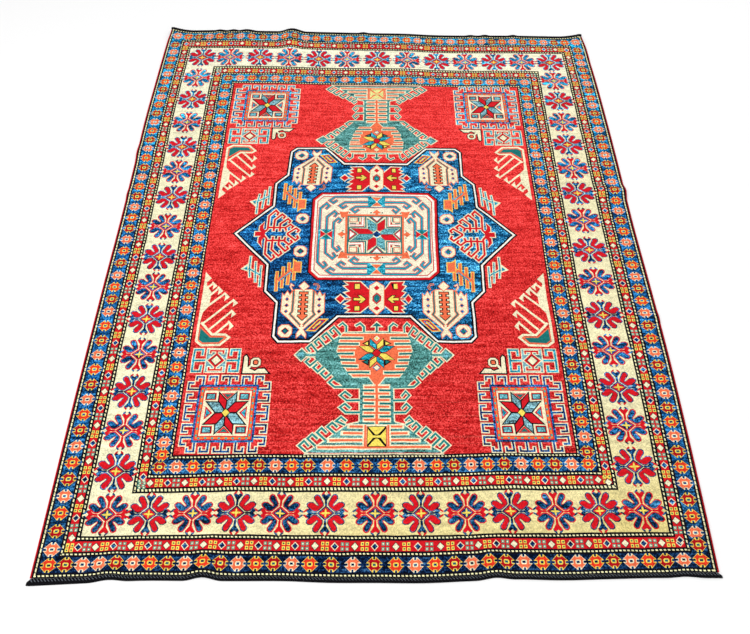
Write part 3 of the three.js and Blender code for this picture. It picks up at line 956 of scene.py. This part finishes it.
key_box = spot(161.5, 156.4)
strokes = [((9 * side, 0), (22.7 * side, 0)) for side in (1, -1)]
for side in (1, -1):
    for end in (1, -1):
        out, into = 22.7 * side, 14.4 * side
        strokes.append(((out, 0), (out, 11.8 * end), (into, 11.8 * end), (into, 5.6 * end)))
key_box.outlined("pale blue", 2.0, "cream", 0.8, *strokes)
key_box.blocks(0, 0, ("cream", 10.8, 13.6), ("grey teal", 9.8, 12.6))
key_box.lozenge("cream", 0, 0, 9.8, 9.6)
brackets = [((0, 6 * end), (0, 10.4 * end)) for end in (1, -1)]
for side in (1, -1):
    for end in (1, -1):
        brackets.append(((0, 10.4 * end), (6.3 * side, 10.4 * end), (6.3 * side, 7.4 * end)))
key_box.outlined("figure red", 1.7, "cream", 0.9, *brackets)
key_box.lozenges(0, 0, ("figure red", 8.4, 8.2), ("black", 5.8, 6.0), ("cream", 4.8, 5.0))

# the bird
BIRD = (
    (133.6, 170.2), (133.3, 152.3), (131.6, 151), (129.8, 153.4), (129.4, 163.6), (127.4, 165.6),
    (124.6, 166.4), (121.6, 168), (118.4, 165.6), (112.4, 165.4), (108, 170.2),
)
field.line("black", 2.8, *BIRD, closed=True)
field.line("black", 3.6, (125, 161), (128.4, 165.4))
field.octagon("black", 121.4, 158.4, 5.6)
field.patch("cream", *BIRD)
field.octagon("cream", 121.4, 158.4, 4.9)
field.line("cream", 2.2, (125, 161), (128.8, 165.6))
field.octagon("black", 121.4, 158.4, 3.0)
field.block("coral", 119.6, 156.6, 123.2, 160.2)

# the claw: a spine along the border, a curled foot and six fingers, each with a pennant
field.line(
    "cream", 2.5, (184.6, 96), (184.6, 135), (178.8, 139.6), (160, 139), (151.6, 130.4), (156, 127.2),
    (169.5, 127.4), (182.2, 113.4),
)
field.patch(
    "cream", (186, 51.5), (186, 112), (183.4, 112), (182.6, 101.5), (176.8, 93.5), (176.8, 77), (182.6, 68.5),
    (183.4, 64.5), (178.4, 59.5),
)
field.patch(
    "coral", (182.6, 118), (170.6, 129.4), (155, 129.2), (154, 130.4), (160.8, 137.2), (178.4, 137.8),
    (183, 134),
)
field.patch("teal", (182.2, 120), (171, 130.6), (156.4, 130.4), (161.4, 136), (178, 136.6), (182.2, 133.4))
for root, tip, top, point, low in (
    ((166.5, 127), (153.4, 113), (154, 110.8), (148.2, 117.4), (153, 122.4)),
    ((172.8, 121.6), (152.6, 100), (152.6, 97.6), (147.4, 103), (152.3, 107.8)),
    ((180, 114), (152.6, 87), (152.4, 84.8), (147, 90), (152, 94.6)),
    ((177.4, 93), (162.4, 79), (162.4, 76.6), (156.4, 83), (161.6, 88)),
    ((177.4, 80.4), (169.8, 72), (170, 69.4), (164.4, 75.2), (169.6, 80.6)),
    ((182.4, 71.4), (176.6, 66.2), (176.8, 63.6), (171.2, 69), (176, 73.6)),
):
    field.line("cream", 2.3, root, tip)
    field.patch("cream", (top[0] + 1.2, top[1] + 1.4), top, point, low, (low[0] - 0.4, low[1] - 4.8), tip)

# the star box in its wreath of keys
star_box = spot(145, 211.5)
keys = []
for k in range(-2, 3):
    for way in (1, -1) if k == 0 else (math.copysign(1, k),):
        for end in (1, -1):
            u, v = 12.8 * k, 12 * k
            bent_u, bent_v = u + 6.8 * way, v + 6.6 * way
            keys.append(((u, 28 * end), (u, 37.2 * end), (bent_u, 37.2 * end), (bent_u, 33.4 * end)))
            keys.append(((28.4 * end, v), (39.6 * end, v), (39.6 * end, bent_v), (34.4 * end, bent_v)))
star_box.outlined("navy", 1.8, "cream", 1.0, *keys)
star_box.blocks(
    0, 0, ("key blue", 29.3, 28.8), ("figure red", 27.1, 26.6), ("orange", 26.0, 25.5),
    ("figure red", 23.9, 23.5), ("cream", 22.9, 22.5),
)
for k in range(-4, 4):
    u, v = 6.4 * (k + 0.5), 6.3 * (k + 0.5)
    for way in (1, -1):
        star_box.block("bright teal", u - 1.1, 24.7 * way - 0.9, u + 1.1, 24.7 * way + 0.9)
        star_box.block("bright teal", 25 * way - 0.9, v - 1.1, 25 * way + 0.9, v + 1.1)
for way in (1, -1):
    for end in (1, -1):
        corner = spot(145 + 16.2 * way, 211.5 + 16.6 * end)
        corner.blocks(0, 0, ("figure red", 5.2, 3.7), ("black", 4.4, 2.9), ("pale teal", 3.6, 2.2))
    star_box.patch("figure red", (-6.6, 19.8 * way), (6.6, 19.8 * way), (0, 13.2 * way))
    star_box.patch("teal", (-3.8, 18.7 * way), (3.8, 18.7 * way), (0, 15.2 * way))
    star_box.patch("figure red", (19.9 * way, -6.8), (19.9 * way, 6.8), (12.6 * way, 0))
    star_box.patch("pale blue", (18.8 * way, -4.3), (18.8 * way, 4.3), (14.6 * way, 0))
for turn_u in (1, -1):
    for turn_v in (1, -1):
        lobes = spot(145, 211.5, turn_u, turn_v)
        up_dye, side_dye = ("grey teal", "figure red") if turn_u == turn_v else ("figure red", "grey teal")
        lobes.edged(up_dye, "black", 2.6, ((0.4, 3.4), (0.4, 11.4), (8, 19.4), (8, 10.2)))
        lobes.edged(side_dye, "black", 2.6, ((3.4, 0.7), (2.4, 3.2), (7.9, 10.0), (18.8, 10.8), (9.8, 0.8)))
star_box.lozenges(0, 0, ("black", 4.6, 4.6), ("yellow", 3.7, 3.7))

# Dyes
# Madder reds, indigo blues and their greens on wool. A dye is one colour here; the streaks that come from
# dyeing and spinning by hand are in the wool's material.

DYES = {
    "black": (14, 12, 20),
    "border blue": (44, 134, 180),
    "night blue": (20, 93, 146),
    "dusk blue": (14, 95, 142),
    "medallion blue": (26, 118, 166),
    "key blue": (44, 134, 186),
    "petal blue": (20, 132, 172),
    "arm blue": (16, 104, 150),
    "navy": (24, 92, 160),
    "border cream": (246, 240, 200),
    "room cream": (246, 238, 208),
    "cream": (246, 238, 200),
    "white": (255, 252, 240),
    "field red": (236, 54, 52),
    "guard red": (212, 26, 36),
    "petal red": (216, 24, 34),
    "figure red": (216, 28, 38),
    "scarlet": (232, 58, 34),
    "dark red": (176, 16, 26),
    "coral": (246, 116, 76),
    "orange": (248, 126, 62),
    "gold": (250, 208, 96),
    "yellow": (246, 222, 96),
    "pale yellow": (238, 234, 150),
    "guard teal": (92, 156, 136),
    "green": (24, 100, 84),
    "deep teal": (24, 100, 110),
    "teal": (28, 118, 116),
    "hook teal": (34, 136, 132),
    "pendant teal": (80, 146, 140),
    "bright teal": (30, 170, 168),
    "room teal": (4, 158, 180),
    "grey teal": (122, 174, 184),
    "pale teal": (96, 170, 180),
    "pale blue": (18, 160, 184),
    "warp": (150, 136, 112),
    "charcoal": (15, 15, 19),
    "stitch grey": (104, 110, 118),
    "beads across": (8, 26, 32),
    "beads along": (8, 26, 32),
}

# a dye's mark tells the wool's material how evenly it took, or that it is parted into beads
ALONG, CREAM, RED, ACROSS, TEAL, INDIGO, EVEN = 0.0, 0.125, 0.25, 0.5, 0.625, 0.75, 1.0
MARKS = {"beads along": ALONG, "beads across": ACROSS, "border cream": CREAM, "field red": RED}
MARKS.update(dict.fromkeys(("pendant teal", "pale teal", "grey teal", "pale blue"), TEAL))
MARKS.update(dict.fromkeys(("border blue", "night blue", "dusk blue", "medallion blue"), INDIGO))
MARKS.update(dict.fromkeys(("key blue", "petal blue", "arm blue", "navy"), INDIGO))


def linear(dye):
    levels = [c / 255 for c in dye]
    return [c / 12.92 if c <= 0.04045 else ((c + 0.055) / 1.055) ** 2.4 for c in levels]


DYED = {dye: (*linear(colour), MARKS.get(dye, EVEN)) for dye, colour in DYES.items()}


# Wool
# Hand-spun wool: each knot takes the dye a little differently, each batch differs from the last in streaks
# across the rug, and the cut ends of the pile give it a soft sheen, part of which is painted into the
# colours as a lightening towards the far end.


class Yarn:
    """A value or colour in a material; sums written with it add the nodes that work them out."""

    def __init__(self, tree, socket=None):
        self.tree = tree
        self.socket = socket

    def node(self, kind, settings, values, output=0):
        made = self.tree.nodes.new(kind)
        for name, setting in settings.items():
            if name == "stops":
                stops = made.color_ramp.elements
                stops.remove(stops[1])
                for count, (place, colour) in enumerate(setting):
                    stop = stops.new(place) if count else stops[0]
                    stop.position, stop.color = place, colour
            else:
                setattr(made, name, setting)
        for name, value in values.items():
            if isinstance(value, Yarn):
                self.tree.links.new(value.socket, made.inputs[name])
            else:
                made.inputs[name].default_value = value
        return Yarn(self.tree, made.outputs[output]) if len(made.outputs) else None

    def maths(self, operation, *values):
        return self.node("ShaderNodeMath", {"operation": operation}, dict(enumerate(values)))

    def __add__(self, other):
        return self.maths("ADD", self, other)

    def __radd__(self, other):
        return self.maths("ADD", other, self)

    def __sub__(self, other):
        return self.maths("SUBTRACT", self, other)

    def __rsub__(self, other):
        return self.maths("SUBTRACT", other, self)

    def __mul__(self, other):
        return self.maths("MULTIPLY", self, other)

    def __rmul__(self, other):
        return self.maths("MULTIPLY", other, self)

    def __truediv__(self, other):
        return self.maths("DIVIDE", self, other)

    def __lt__(self, other):
        return self.maths("LESS_THAN", self, other)

    def __gt__(self, other):
        return self.maths("GREATER_THAN", self, other)

    def share(self, low, high):
        """How far this value has come from low to high, from 0 to 1."""
        return self.node("ShaderNodeMapRange", {}, {"Value": self, "From Min": low, "From Max": high})

    def mixed(self, other, share):
        """This colour with a share of another in it."""
        return self.node("ShaderNodeMix", {"data_type": "RGBA"}, {0: share, 6: self, 7: other}, 2)

    def dyed(self, dye, share):
        """This colour with a share of a dye in it, given as in DYES."""
        return self.mixed((*linear(dye), 1), share)

    def scaled(self, by):
        return self.node("ShaderNodeVectorMath", {"operation": "SCALE"}, {"Vector": self, "Scale": by})

    def stretched(self, x, y, z):
        return self.node("ShaderNodeVectorMath", {"operation": "MULTIPLY"}, {0: self, 1: (x, y, z)})

    def cloud(self, detail=2, roughness=0.5):
        """Soft noise around 0.5, at one cloud for each unit of this place."""
        values = {"Vector": self, "Scale": 1.0, "Detail": detail, "Roughness": roughness}
        return self.node("ShaderNodeTexNoise", {}, values)


def wool_material(name, rows, relief, sheen):
    """Wool with its rows of knots and its tufts in low relief, in metres."""
    material = bpy.data.materials.new(name)
    material.use_nodes = True
    material.node_tree.nodes.clear()
    start = Yarn(material.node_tree)
    chart = start.node("ShaderNodeUVMap", {"uv_map": "chart"}, {})
    place = start.node("ShaderNodeTexCoord", {}, {}, "Object")
    dye = start.node("ShaderNodeAttribute", {"attribute_name": "dye"}, {}, "Color")
    mark = start.node("ShaderNodeAttribute", {"attribute_name": "dye"}, {}, "Alpha")
    u = start.node("ShaderNodeSeparateXYZ", {}, {0: chart}, "X")
    v = start.node("ShaderNodeSeparateXYZ", {}, {0: chart}, "Y")
    along, cream, red, across, teal, indigo = (
        start.maths("COMPARE", mark, kind, 0.05) for kind in (ALONG, CREAM, RED, ACROSS, TEAL, INDIGO)
    )
    uneven = indigo + teal * 0.5

    # the rows of beads: slanted ones across the rug, square ones along it
    slanted = start.maths("FRACT", (u + v * 0.3) / 3.5) < 0.56
    square = start.maths("FRACT", (v + u * 0.5) / 4.0) < 0.58 + 0.22 * (start.maths("ABSOLUTE", u) > 285)
    dye = dye.dyed((250, 244, 190), slanted * across + square * along)

    # how deep the dye is: batches, streaks and patches of it across the rug, tufts and single knots
    batch = place.stretched(1.1, 17, 1).cloud(3, 0.6) - 0.5
    streak = place.stretched(5, 120, 1).cloud() - 0.5
    patch = place.stretched(24, 62, 1).cloud() - 0.5
    tuft = chart.stretched(0.62, 0.62, 1).cloud(1) - 0.5
    whole_knot = start.node("ShaderNodeVectorMath", {"operation": "FLOOR"}, {0: chart})
    knot = start.node("ShaderNodeTexWhiteNoise", {"noise_dimensions": "2D"}, {"Vector": whole_knot}) - 0.5
    grain = place.stretched(420, 420, 420).cloud() - 0.5
    depth = (
        batch * (0.30 + indigo * 1.4)
        + streak * (0.40 + uneven * 3.2 + red * 0.5)
        + patch * (0.30 + uneven * 3.2 + red * 0.4 + cream * 0.35)
        + tuft * (0.6 + uneven * 4 + red * 0.7)
        + knot * (0.40 + uneven + red * 0.2)
        + grain * 0.3
    )
    dye = dye.dyed((176, 212, 222), (depth * uneven).share(0, 2.5))

    # indigo is darker towards the near end and lighter towards the far end: partly the weaver's indigo,
    # strong when the weaver began and weak at the end, and partly a painted sheen of the pile seen at a low
    # angle at the far end; in the medallion it is weaker on the right, and strongest near the beginning on
    # the left
    bath_and_sheen = start.node(
        "ShaderNodeValToRGB",
        {"stops": (
            (0.02, (0.05, 0.11, 0.20, 1)), (0.07, (0.10, 0.24, 0.37, 1)), (0.14, (0.10, 0.31, 0.52, 1)),
            (0.22, (0.10, 0.35, 0.60, 1)), (0.55, (0.10, 0.42, 0.72, 1)), (0.67, (0.08, 0.56, 0.82, 1)),
            (0.79, (0.12, 0.84, 1, 1)),
        )},
        {"Fac": v.share(-EDGE_V, EDGE_V)},
    )
    medallion = (start.maths("ABSOLUTE", u) < 165) * (start.maths("ABSOLUTE", v) < 142)
    bath_and_sheen = bath_and_sheen.mixed((0.36, 0.88, 1, 1), u.share(-100, 100) * medallion * 0.75)
    bath_and_sheen = bath_and_sheen.mixed((0.03, 0.16, 0.32, 1), v.share(0, -110) * u.share(30, -90) * medallion)
    dye = start.node(
        "ShaderNodeMix", {"data_type": "RGBA", "blend_type": "MULTIPLY"}, {0: indigo, 6: dye, 7: bath_and_sheen}, 2
    )

    # the border's cream is yellower at the near end and on the right, and paler at the far end, where a
    # painted sheen of the pile seen at a low angle lightens it
    yellowed = v.share(-190, -340) * u.share(-270, -10) + (u > 200) * 0.2
    dye = dye.dyed((232, 214, 140), cream * yellowed)
    dye = dye.dyed((255, 254, 228), cream * v.share(100, 300) * 0.6)

    # the field's red is darker towards the near end, partly deeper dye and partly painted shade for the lack
    # of the sheen that lightens the far end; it is deeper in its deep knots, paler in its weak ones,
    # and worn in streaks at the near end
    deeper_and_shaded = v.share(120, -200)
    dye = dye.dyed((226, 30, 30), red * ((0.04 - depth) * 2.2 + deeper_and_shaded * 0.4).share(0, 1))
    dye = dye.dyed((244, 82, 80), red * depth.share(0.04, 0.04 + 1 / 2.2))
    worn = place.stretched(1.4, 230, 1).cloud().share(0.58, 0.58 + 1 / 6)
    dye = dye.dyed((250, 128, 112), worn * red * v.share(-90, -390))
    colour = dye.scaled(start.maths("MAXIMUM", 1 + depth - red * deeper_and_shaded * 0.23, 0.12) * 0.86)

    weave = start.maths("SINE", v * (2 * math.pi)) * rows + grain * 0.8 + knot * 0.25
    bump = start.node("ShaderNodeBump", {}, {"Strength": 0.6, "Distance": relief, "Height": weave})
    shader = start.node("ShaderNodeBsdfPrincipled", {}, {
        "Base Color": colour,
        "Normal": bump,
        "Roughness": 0.92,
        "Specular IOR Level": 0.06,
        "Sheen Weight": sheen,
        "Sheen Roughness": 0.45,
    })
    start.node("ShaderNodeOutputMaterial", {}, {"Surface": shader})
    return material


# Pile
# The cut wool pile, about 7 mm of tufts standing on the foundation. It is knotted from the chart,
# and its sides are the outermost knots.

FOUNDATION = 0.0016
PILE = 0.009


def on_edge(u, v):
    return abs(u) > EDGE_U - 0.01 or abs(v) > EDGE_V - 0.01


def rows_of_points(step, edge_step, edge_depth):
    """Places over the rug that let it follow its ripples, closer together along the edges."""
    for fine, gap in ((False, step), (True, edge_step)):
        count_u, count_v = round(EDGE_U / gap), round(EDGE_V / gap)
        for i in range(-count_u, count_u + 1):
            for j in range(-count_v, count_v + 1):
                u, v = EDGE_U * i / count_u, EDGE_V * j / count_v
                near_edge = abs(u) > EDGE_U - edge_depth or abs(v) > EDGE_V - edge_depth
                if near_edge == fine:
                    yield Vector((u, v))


def divided(shape):
    """A shape's outline with its long edges divided at the same places as the long edges beside them."""
    for a, b in zip(shape, shape[1:] + shape[:1]):
        yield a
        way = 0 if abs(b[0] - a[0]) > abs(b[1] - a[1]) else 1
        if abs(b[way] - a[way]) > 20:
            low, high = sorted((a[way], b[way]))
            stops = [k * 8 for k in range(math.ceil((low + 1) / 8), math.floor((high - 1) / 8) + 1)]
            for stop in stops if a[way] < b[way] else stops[::-1]:
                t = (stop - a[way]) / (b[way] - a[way])
                yield a[0] + (b[0] - a[0]) * t, a[1] + (b[1] - a[1]) * t


# the chart cut into triangles along its shapes' edges, with more corners between them, off the rows of beads
corners = []
edges = []
for _, shape in shapes:
    outline = [Vector(corner) for corner in divided(shape)]
    first, count = len(corners), len(outline)
    edges += [(first + k, first + (k + 1) % count) for k in range(count)]
    corners += outline
for point in rows_of_points(8.5, 4, 24):
    beside_u = min(abs(abs(point.x) - line) for row in BEAD_ROWS for line in row[:2])
    beside_v = min(abs(abs(point.y) - line) for row in BEAD_ROWS for line in row[2:])
    if on_edge(*point) or min(beside_u, beside_v) > 2.2:
        corners.append(point)
charted, _, knotted, _, _, _ = delaunay_2d_cdt(corners, edges, [], 0, 0.03, False)

# each triangle takes the dye of the uppermost shape over its middle, which is looked up in tiles of the chart
TILE = 8
tiles = {}
for dye, shape in shapes:
    us, vs = zip(*shape)
    low_u, high_u, low_v, high_v = min(us), max(us), min(vs), max(vs)
    for i in range(math.floor(low_u / TILE), math.floor(high_u / TILE) + 1):
        for j in range(math.floor(low_v / TILE), math.floor(high_v / TILE) + 1):
            tiles.setdefault((i, j), []).append((low_u, high_u, low_v, high_v, dye, shape))


def dye_at(u, v):
    for low_u, high_u, low_v, high_v, dye, shape in reversed(tiles[(u // TILE, v // TILE)]):
        if low_u < u < high_u and low_v < v < high_v:
            within = False
            au, av = shape[-1]
            for bu, bv in shape:
                if (av > v) != (bv > v) and u < au + (v - av) * (bu - au) / (bv - av):
                    within = not within
                au, av = bu, bv
            if within:
                return dye


dye_of = [dye_at(*(sum((charted[i] for i in face), Vector((0, 0))) / 3)) for face in knotted]

# a knot never stands quite in line with the next; the noise is seeded, so that each run gives the same rug
noise.seed_set(1)
laid = []
for u, v in charted:
    if on_edge(u, v):
        laid.append(lay(u * KNOT, v * KNOT, 0))
    else:
        off = 0.3 * noise.noise_vector((u / 5, v / 5, 1.5)) + 0.35 * noise.noise_vector((u / 17, v / 17, 7.5))
        off *= min(min(EDGE_U - abs(u), EDGE_V - abs(v)) / 4, 1)
        laid.append(lay((u + off.x) * KNOT, (v + off.y) * KNOT, 0))

# the plain side has the same rim and larger triangles
rim = sorted((p for p in charted if on_edge(*p)), key=lambda p: math.atan2(p.y, p.x))
inner = [p for p in rows_of_points(17, 8.5, 51) if not on_edge(*p)]
plain, _, plain_faces, _, _, _ = delaunay_2d_cdt(rim + inner, [], [list(range(len(rim)))], 0, 1e-4, False)
plain_laid = [lay(u * KNOT, v * KNOT, 0) for u, v in plain]


def finished(name, shape, slot, wool, *replaced):
    """Makes a shape a piece of the rug; it stands for the frame's nodes that are named."""
    mesh = bpy.data.meshes.new(name)
    shape.to_mesh(mesh)
    shape.free()
    mesh.materials.append(wool)
    piece = bpy.data.objects.new(name, mesh)
    bpy.context.scene.collection.objects.link(piece)
    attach(piece, "root")
    if replaced:
        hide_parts(*replaced)
    return piece


def knotted_sheet(name, face_height, back_height, wall_dye, wool, *replaced):
    """A closed sheet with the pattern on one face; face and back are heights over the rug's back."""
    upwards = face_height > back_height
    sheet = bmesh.new()
    chart_map = sheet.loops.layers.uv.new("chart")
    bake_map = sheet.loops.layers.uv.new("OFBake")
    dye_layer = sheet.loops.layers.float_color.new("dye")
    places = {}

    def spread(points, laid_points, height):
        """The corners of one side of the sheet."""
        side = []
        for p, (u, v) in zip(laid_points, points):
            side.append(sheet.verts.new((p.x, p.y, p.z + height)))
            places[side[-1]] = (u, v)
        return side

    def finish(face, dye, bake):
        for loop in face.loops:
            u, v = places[loop.vert]
            loop[chart_map].uv = (u, v)
            loop[bake_map].uv = bake(u, v, loop.vert)
            loop[dye_layer] = DYED[dye]

    # the second map holds the pattern, then the four walls, then the plain side, from left to right
    scale = 0.97 / (2 * EDGE_V)

    def on_pattern(u, v, _):
        return 0.005 + (u + EDGE_U) * scale, 0.01 + (v + EDGE_V) * scale

    def on_plain_side(u, v, _):
        return 0.91 + (u + EDGE_U) / EDGE_U * 0.04, 0.01 + (v + EDGE_V) * scale

    pattern = spread(charted, laid, face_height)
    for face, dye in zip(knotted, dye_of):
        made = sheet.faces.new([pattern[i] for i in (face if upwards else face[::-1])])
        finish(made, dye, on_pattern)

    rim_edges = [edge for edge in sheet.edges if len(edge.link_faces) == 1]
    grown = bmesh.ops.extrude_edge_only(sheet, edges=rim_edges)["geom"]
    wall_foot = dict.fromkeys(g for g in grown if isinstance(g, bmesh.types.BMVert))
    for vert in wall_foot:
        upper = next(e.other_vert(vert) for e in vert.link_edges if e.other_vert(vert) not in wall_foot)
        places[vert] = places[upper]
        vert.co.z += back_height - face_height
    for face in (g for g in grown if isinstance(g, bmesh.types.BMFace)):
        u, v = (sum(places[vert][k] for vert in face.verts) / len(face.verts) for k in (0, 1))
        side = (0 if u < 0 else 1) if abs(u) / EDGE_U > abs(v) / EDGE_V else (2 if v < 0 else 3)

        def wall(a, b, vert, side=side):
            run = (b + EDGE_V) / (2 * EDGE_V) if side < 2 else (a + EDGE_U) / (2 * EDGE_U)
            return 0.82 + 0.02 * side + (0.01 if vert in wall_foot else 0), 0.02 + 0.95 * run

        finish(face, wall_dye, wall)

    back = spread(plain, plain_laid, back_height)
    for face in plain_faces:
        made = sheet.faces.new([back[i] for i in (face[::-1] if upwards else face)])
        finish(made, "warp", on_plain_side)

    # the operator gives the walls in no fixed order, so all is put in one before near corners are merged
    for parts, ordered in (
        (sheet.verts, sorted(sheet.verts, key=lambda vert: tuple(vert.co))),
        (sheet.faces, sorted(sheet.faces, key=lambda face: tuple(face.calc_center_median()))),
    ):
        for count, part in enumerate(ordered):
            part.index = count
        parts.sort()
    bmesh.ops.remove_doubles(sheet, verts=sheet.verts, dist=1e-6)
    return finished(name, sheet, "pile_wool", wool, *replaced)


knotted_sheet("pile", PILE, FOUNDATION, "black", wool_material("pile_wool", 0.35, 0.0009, 0.03), "rug")


# Foundation
# The rug's back: warps and wefts of wool with the back of every knot showing, so that the pattern
# can be read from below in the same dyes, flatter and harder than the pile.

foundation = knotted_sheet("foundation", 0, FOUNDATION, "warp", wool_material("back_wool", 0.6, 0.0006, 0.05))


# Selvedges
# Each long side is finished with two cords of warp, overcast with wool, one turn beside the next:
# a dark cord beside the pile and a red one outside it.

TURN = 0.0032
CORD = 0.0022


def selvedge(name, way, dye, wool, replaced):
    edge = bmesh.new()
    chart_map = edge.loops.layers.uv.new("chart")
    dye_layer = edge.loops.layers.float_color.new("dye")
    steps = round(2 * HALF_LENGTH / TURN * 3)
    for out, cord_dye in ((0.0025, "black"), (0.0068, dye)):
        rings = []
        for k in range(steps + 1):
            place = -HALF_LENGTH + 2 * HALF_LENGTH * k / steps
            # the cord is drawn in between one turn and the next, and each turn leans along the edge
            tight = 0.86 + 0.14 * (k % 3 > 0)
            ring = []
            for point in range(8):
                angle = 2 * math.pi * (point + 0.5) / 8
                lean = 0.35 * TURN * math.cos(angle)
                across = way * (HALF_WIDTH + out + CORD * tight * math.cos(angle))
                height = 0.0028 + 0.0028 * tight * math.sin(angle)
                at_place = min(max(place + lean, -HALF_LENGTH), HALF_LENGTH)
                ring.append(edge.verts.new(lay(across, at_place, height)))
            rings.append(ring)
        for k, (low, high) in enumerate(zip(rings, rings[1:])):
            for point in range(8):
                after = (point + 1) % 8
                face = edge.faces.new((low[point], low[after], high[after], high[point]))
                for loop in face.loops:
                    loop[chart_map].uv = (point, k / 3)
                    loop[dye_layer] = DYED[cord_dye]
        for ring in (rings[0], rings[-1]):
            for loop in edge.faces.new(ring).loops:
                loop[dye_layer] = DYED[dye]
    for face in edge.faces:
        face.smooth = True
    bmesh.ops.recalc_face_normals(edge, faces=edge.faces)
    finished(name, edge, "selvedge_wool", wool, replaced)


overcast_wool = wool_material("selvedge_wool", 0.2, 0.0004, 0.03)
selvedge("overcasting_left", -1, "guard red", overcast_wool, "selvedge_left")
selvedge("overcasting_right", 1, "dark red", overcast_wool, "selvedge_right")


# End bands
# Each end is closed by a flat braided band of charcoal wool with crossing stitches, some of them grey
# at the near end. It runs past both selvedges and ends in a short tail.

STITCH = 0.0082
TAILS = {-1: 0.007, 1: 0.003}
BAND_GAP = 0.0003


def end_band(name, end, wool, replaced):
    edge = HALF_WIDTH + SELVEDGE_WIDTH
    tail = TAILS[end]
    column = 7 if end < 0 else 8
    band = bmesh.new()
    chart_map = band.loops.layers.uv.new("chart")
    dye_layer = band.loops.layers.float_color.new("dye")

    def place_on(across, out, height):
        """A place on the band: out goes from 0 at the pile to 1 at the free edge."""
        inside = min(max(across, -edge), edge)
        past = abs(across - inside) / tail
        width = stray(END_STRAY, inside / REPEAT, column) - BAND_GAP
        narrow = 1 - 0.5 * past**1.5
        outwards = BAND_GAP + 0.003 * past + width * (1 - narrow) * 0.6 + out * width * narrow
        p = lay(inside, end * HALF_LENGTH, height * (1 - 0.3 * past))
        return Vector((p.x + across - inside, p.y + end * outwards, p.z))

    def strand(rings, dye):
        """Skins the rings of a strand, closes its ends and dyes it."""
        sides = len(rings[0])
        skin = []
        for low, high in zip(rings, rings[1:]):
            for k in range(sides):
                after = (k + 1) % sides
                skin.append(band.faces.new((low[k], low[after], high[after], high[k])))
        for face in (*skin, band.faces.new(rings[0]), band.faces.new(rings[-1])):
            face.smooth = True
            for loop in face.loops:
                loop[chart_map].uv = (loop.vert.co.x / KNOT, loop.vert.co.y / KNOT)
                loop[dye_layer] = DYED[dye]

    # the body of the braid
    section = ((0, 0.0004), (0.1, 0), (0.9, 0), (1, 0.0015), (0.93, 0.0032), (0.5, 0.0036), (0.05, 0.0033))
    count = round(2 * (edge + tail) / 0.009)
    body = []
    for k in range(count + 1):
        across = (edge + tail) * (2 * k / count - 1)
        body.append([band.verts.new(place_on(across, out, height)) for out, height in section])
    strand(body, "charcoal")

    # the crossing stitches: two rows of short slanting loops, leaning opposite ways
    stitches = round(2 * edge / STITCH)
    for k in range(stitches):
        across = edge * (2 * (k + 0.5) / stitches - 1)
        for row, (out_low, out_high, lean) in enumerate(((0.02, 0.52, 1), (0.46, 0.96, -1))):
            stitch = []
            for step in range(5):
                t = step / 4
                half = (0.3, 0.9, 1, 0.9, 0.3)[step] * 0.0016
                crown = (0.4, 0.9, 1, 0.9, 0.4)[step] * 0.0013
                out = out_low + (out_high - out_low) * t
                slide = across + lean * (t - 0.5) * STITCH * 0.9
                stitch.append([
                    band.verts.new(place_on(slide + a * half, out, 0.0031 + b * crown))
                    for a, b in ((-1, -0.4), (1, -0.4), (0.75, 0.7), (0, 1), (-0.75, 0.7))
                ])
            strand(stitch, "charcoal" if row or end > 0 else "stitch grey")
    bmesh.ops.recalc_face_normals(band, faces=band.faces)
    finished(name, band, "end_wool", wool, replaced)


braid_wool = wool_material("end_wool", 0.2, 0.0004, 0.02)
end_band("braid_near", -1, braid_wool, "end_finish_near")
end_band("braid_far", 1, braid_wool, "end_finish_far")


# Floor and light
# A plain pale floor and soft studio light from above: the stronger lamp in front on the left,
# the weaker one behind on the right.

floor_shape = bmesh.new()
bmesh.ops.create_grid(floor_shape, x_segments=1, y_segments=1, size=12)
floor_mesh = bpy.data.meshes.new("floor")
floor_shape.to_mesh(floor_mesh)
floor_shape.free()
floor_material = bpy.data.materials.new("pale_floor")
floor_material.use_nodes = True
floor_shader = floor_material.node_tree.nodes["Principled BSDF"]
floor_shader.inputs["Base Color"].default_value = (0.86, 0.86, 0.86, 1)
floor_shader.inputs["Roughness"].default_value = 0.9
floor_mesh.materials.append(floor_material)
floor = bpy.data.objects.new("floor", floor_mesh)
bpy.context.scene.collection.objects.link(floor)
floor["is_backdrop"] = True

world = bpy.data.worlds.new("studio")
world.use_nodes = True
world.node_tree.nodes["Background"].inputs["Color"].default_value = (1, 1, 1, 1)
world.node_tree.nodes["Background"].inputs["Strength"].default_value = 0.8
bpy.context.scene.world = world
bpy.context.scene.view_settings.view_transform = "Standard"
for name, place, size, power in (
    ("key", (-1.6, -1.4, 3.4), 2.6, 70),
    ("fill", (2.0, 1.6, 3.2), 2.6, 30),
):
    light_data = bpy.data.lights.new(name, "AREA")
    light_data.size = size
    light_data.energy = power
    light = bpy.data.objects.new(name, light_data)
    light.location = place
    light.rotation_euler = (Vector((0, 0, 0)) - light.location).to_track_quat("-Z", "Y").to_euler()
    bpy.context.scene.collection.objects.link(light)

size = {"cad": [list(corner) for corner in cad_box], "scene": [list(corner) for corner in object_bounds()]}
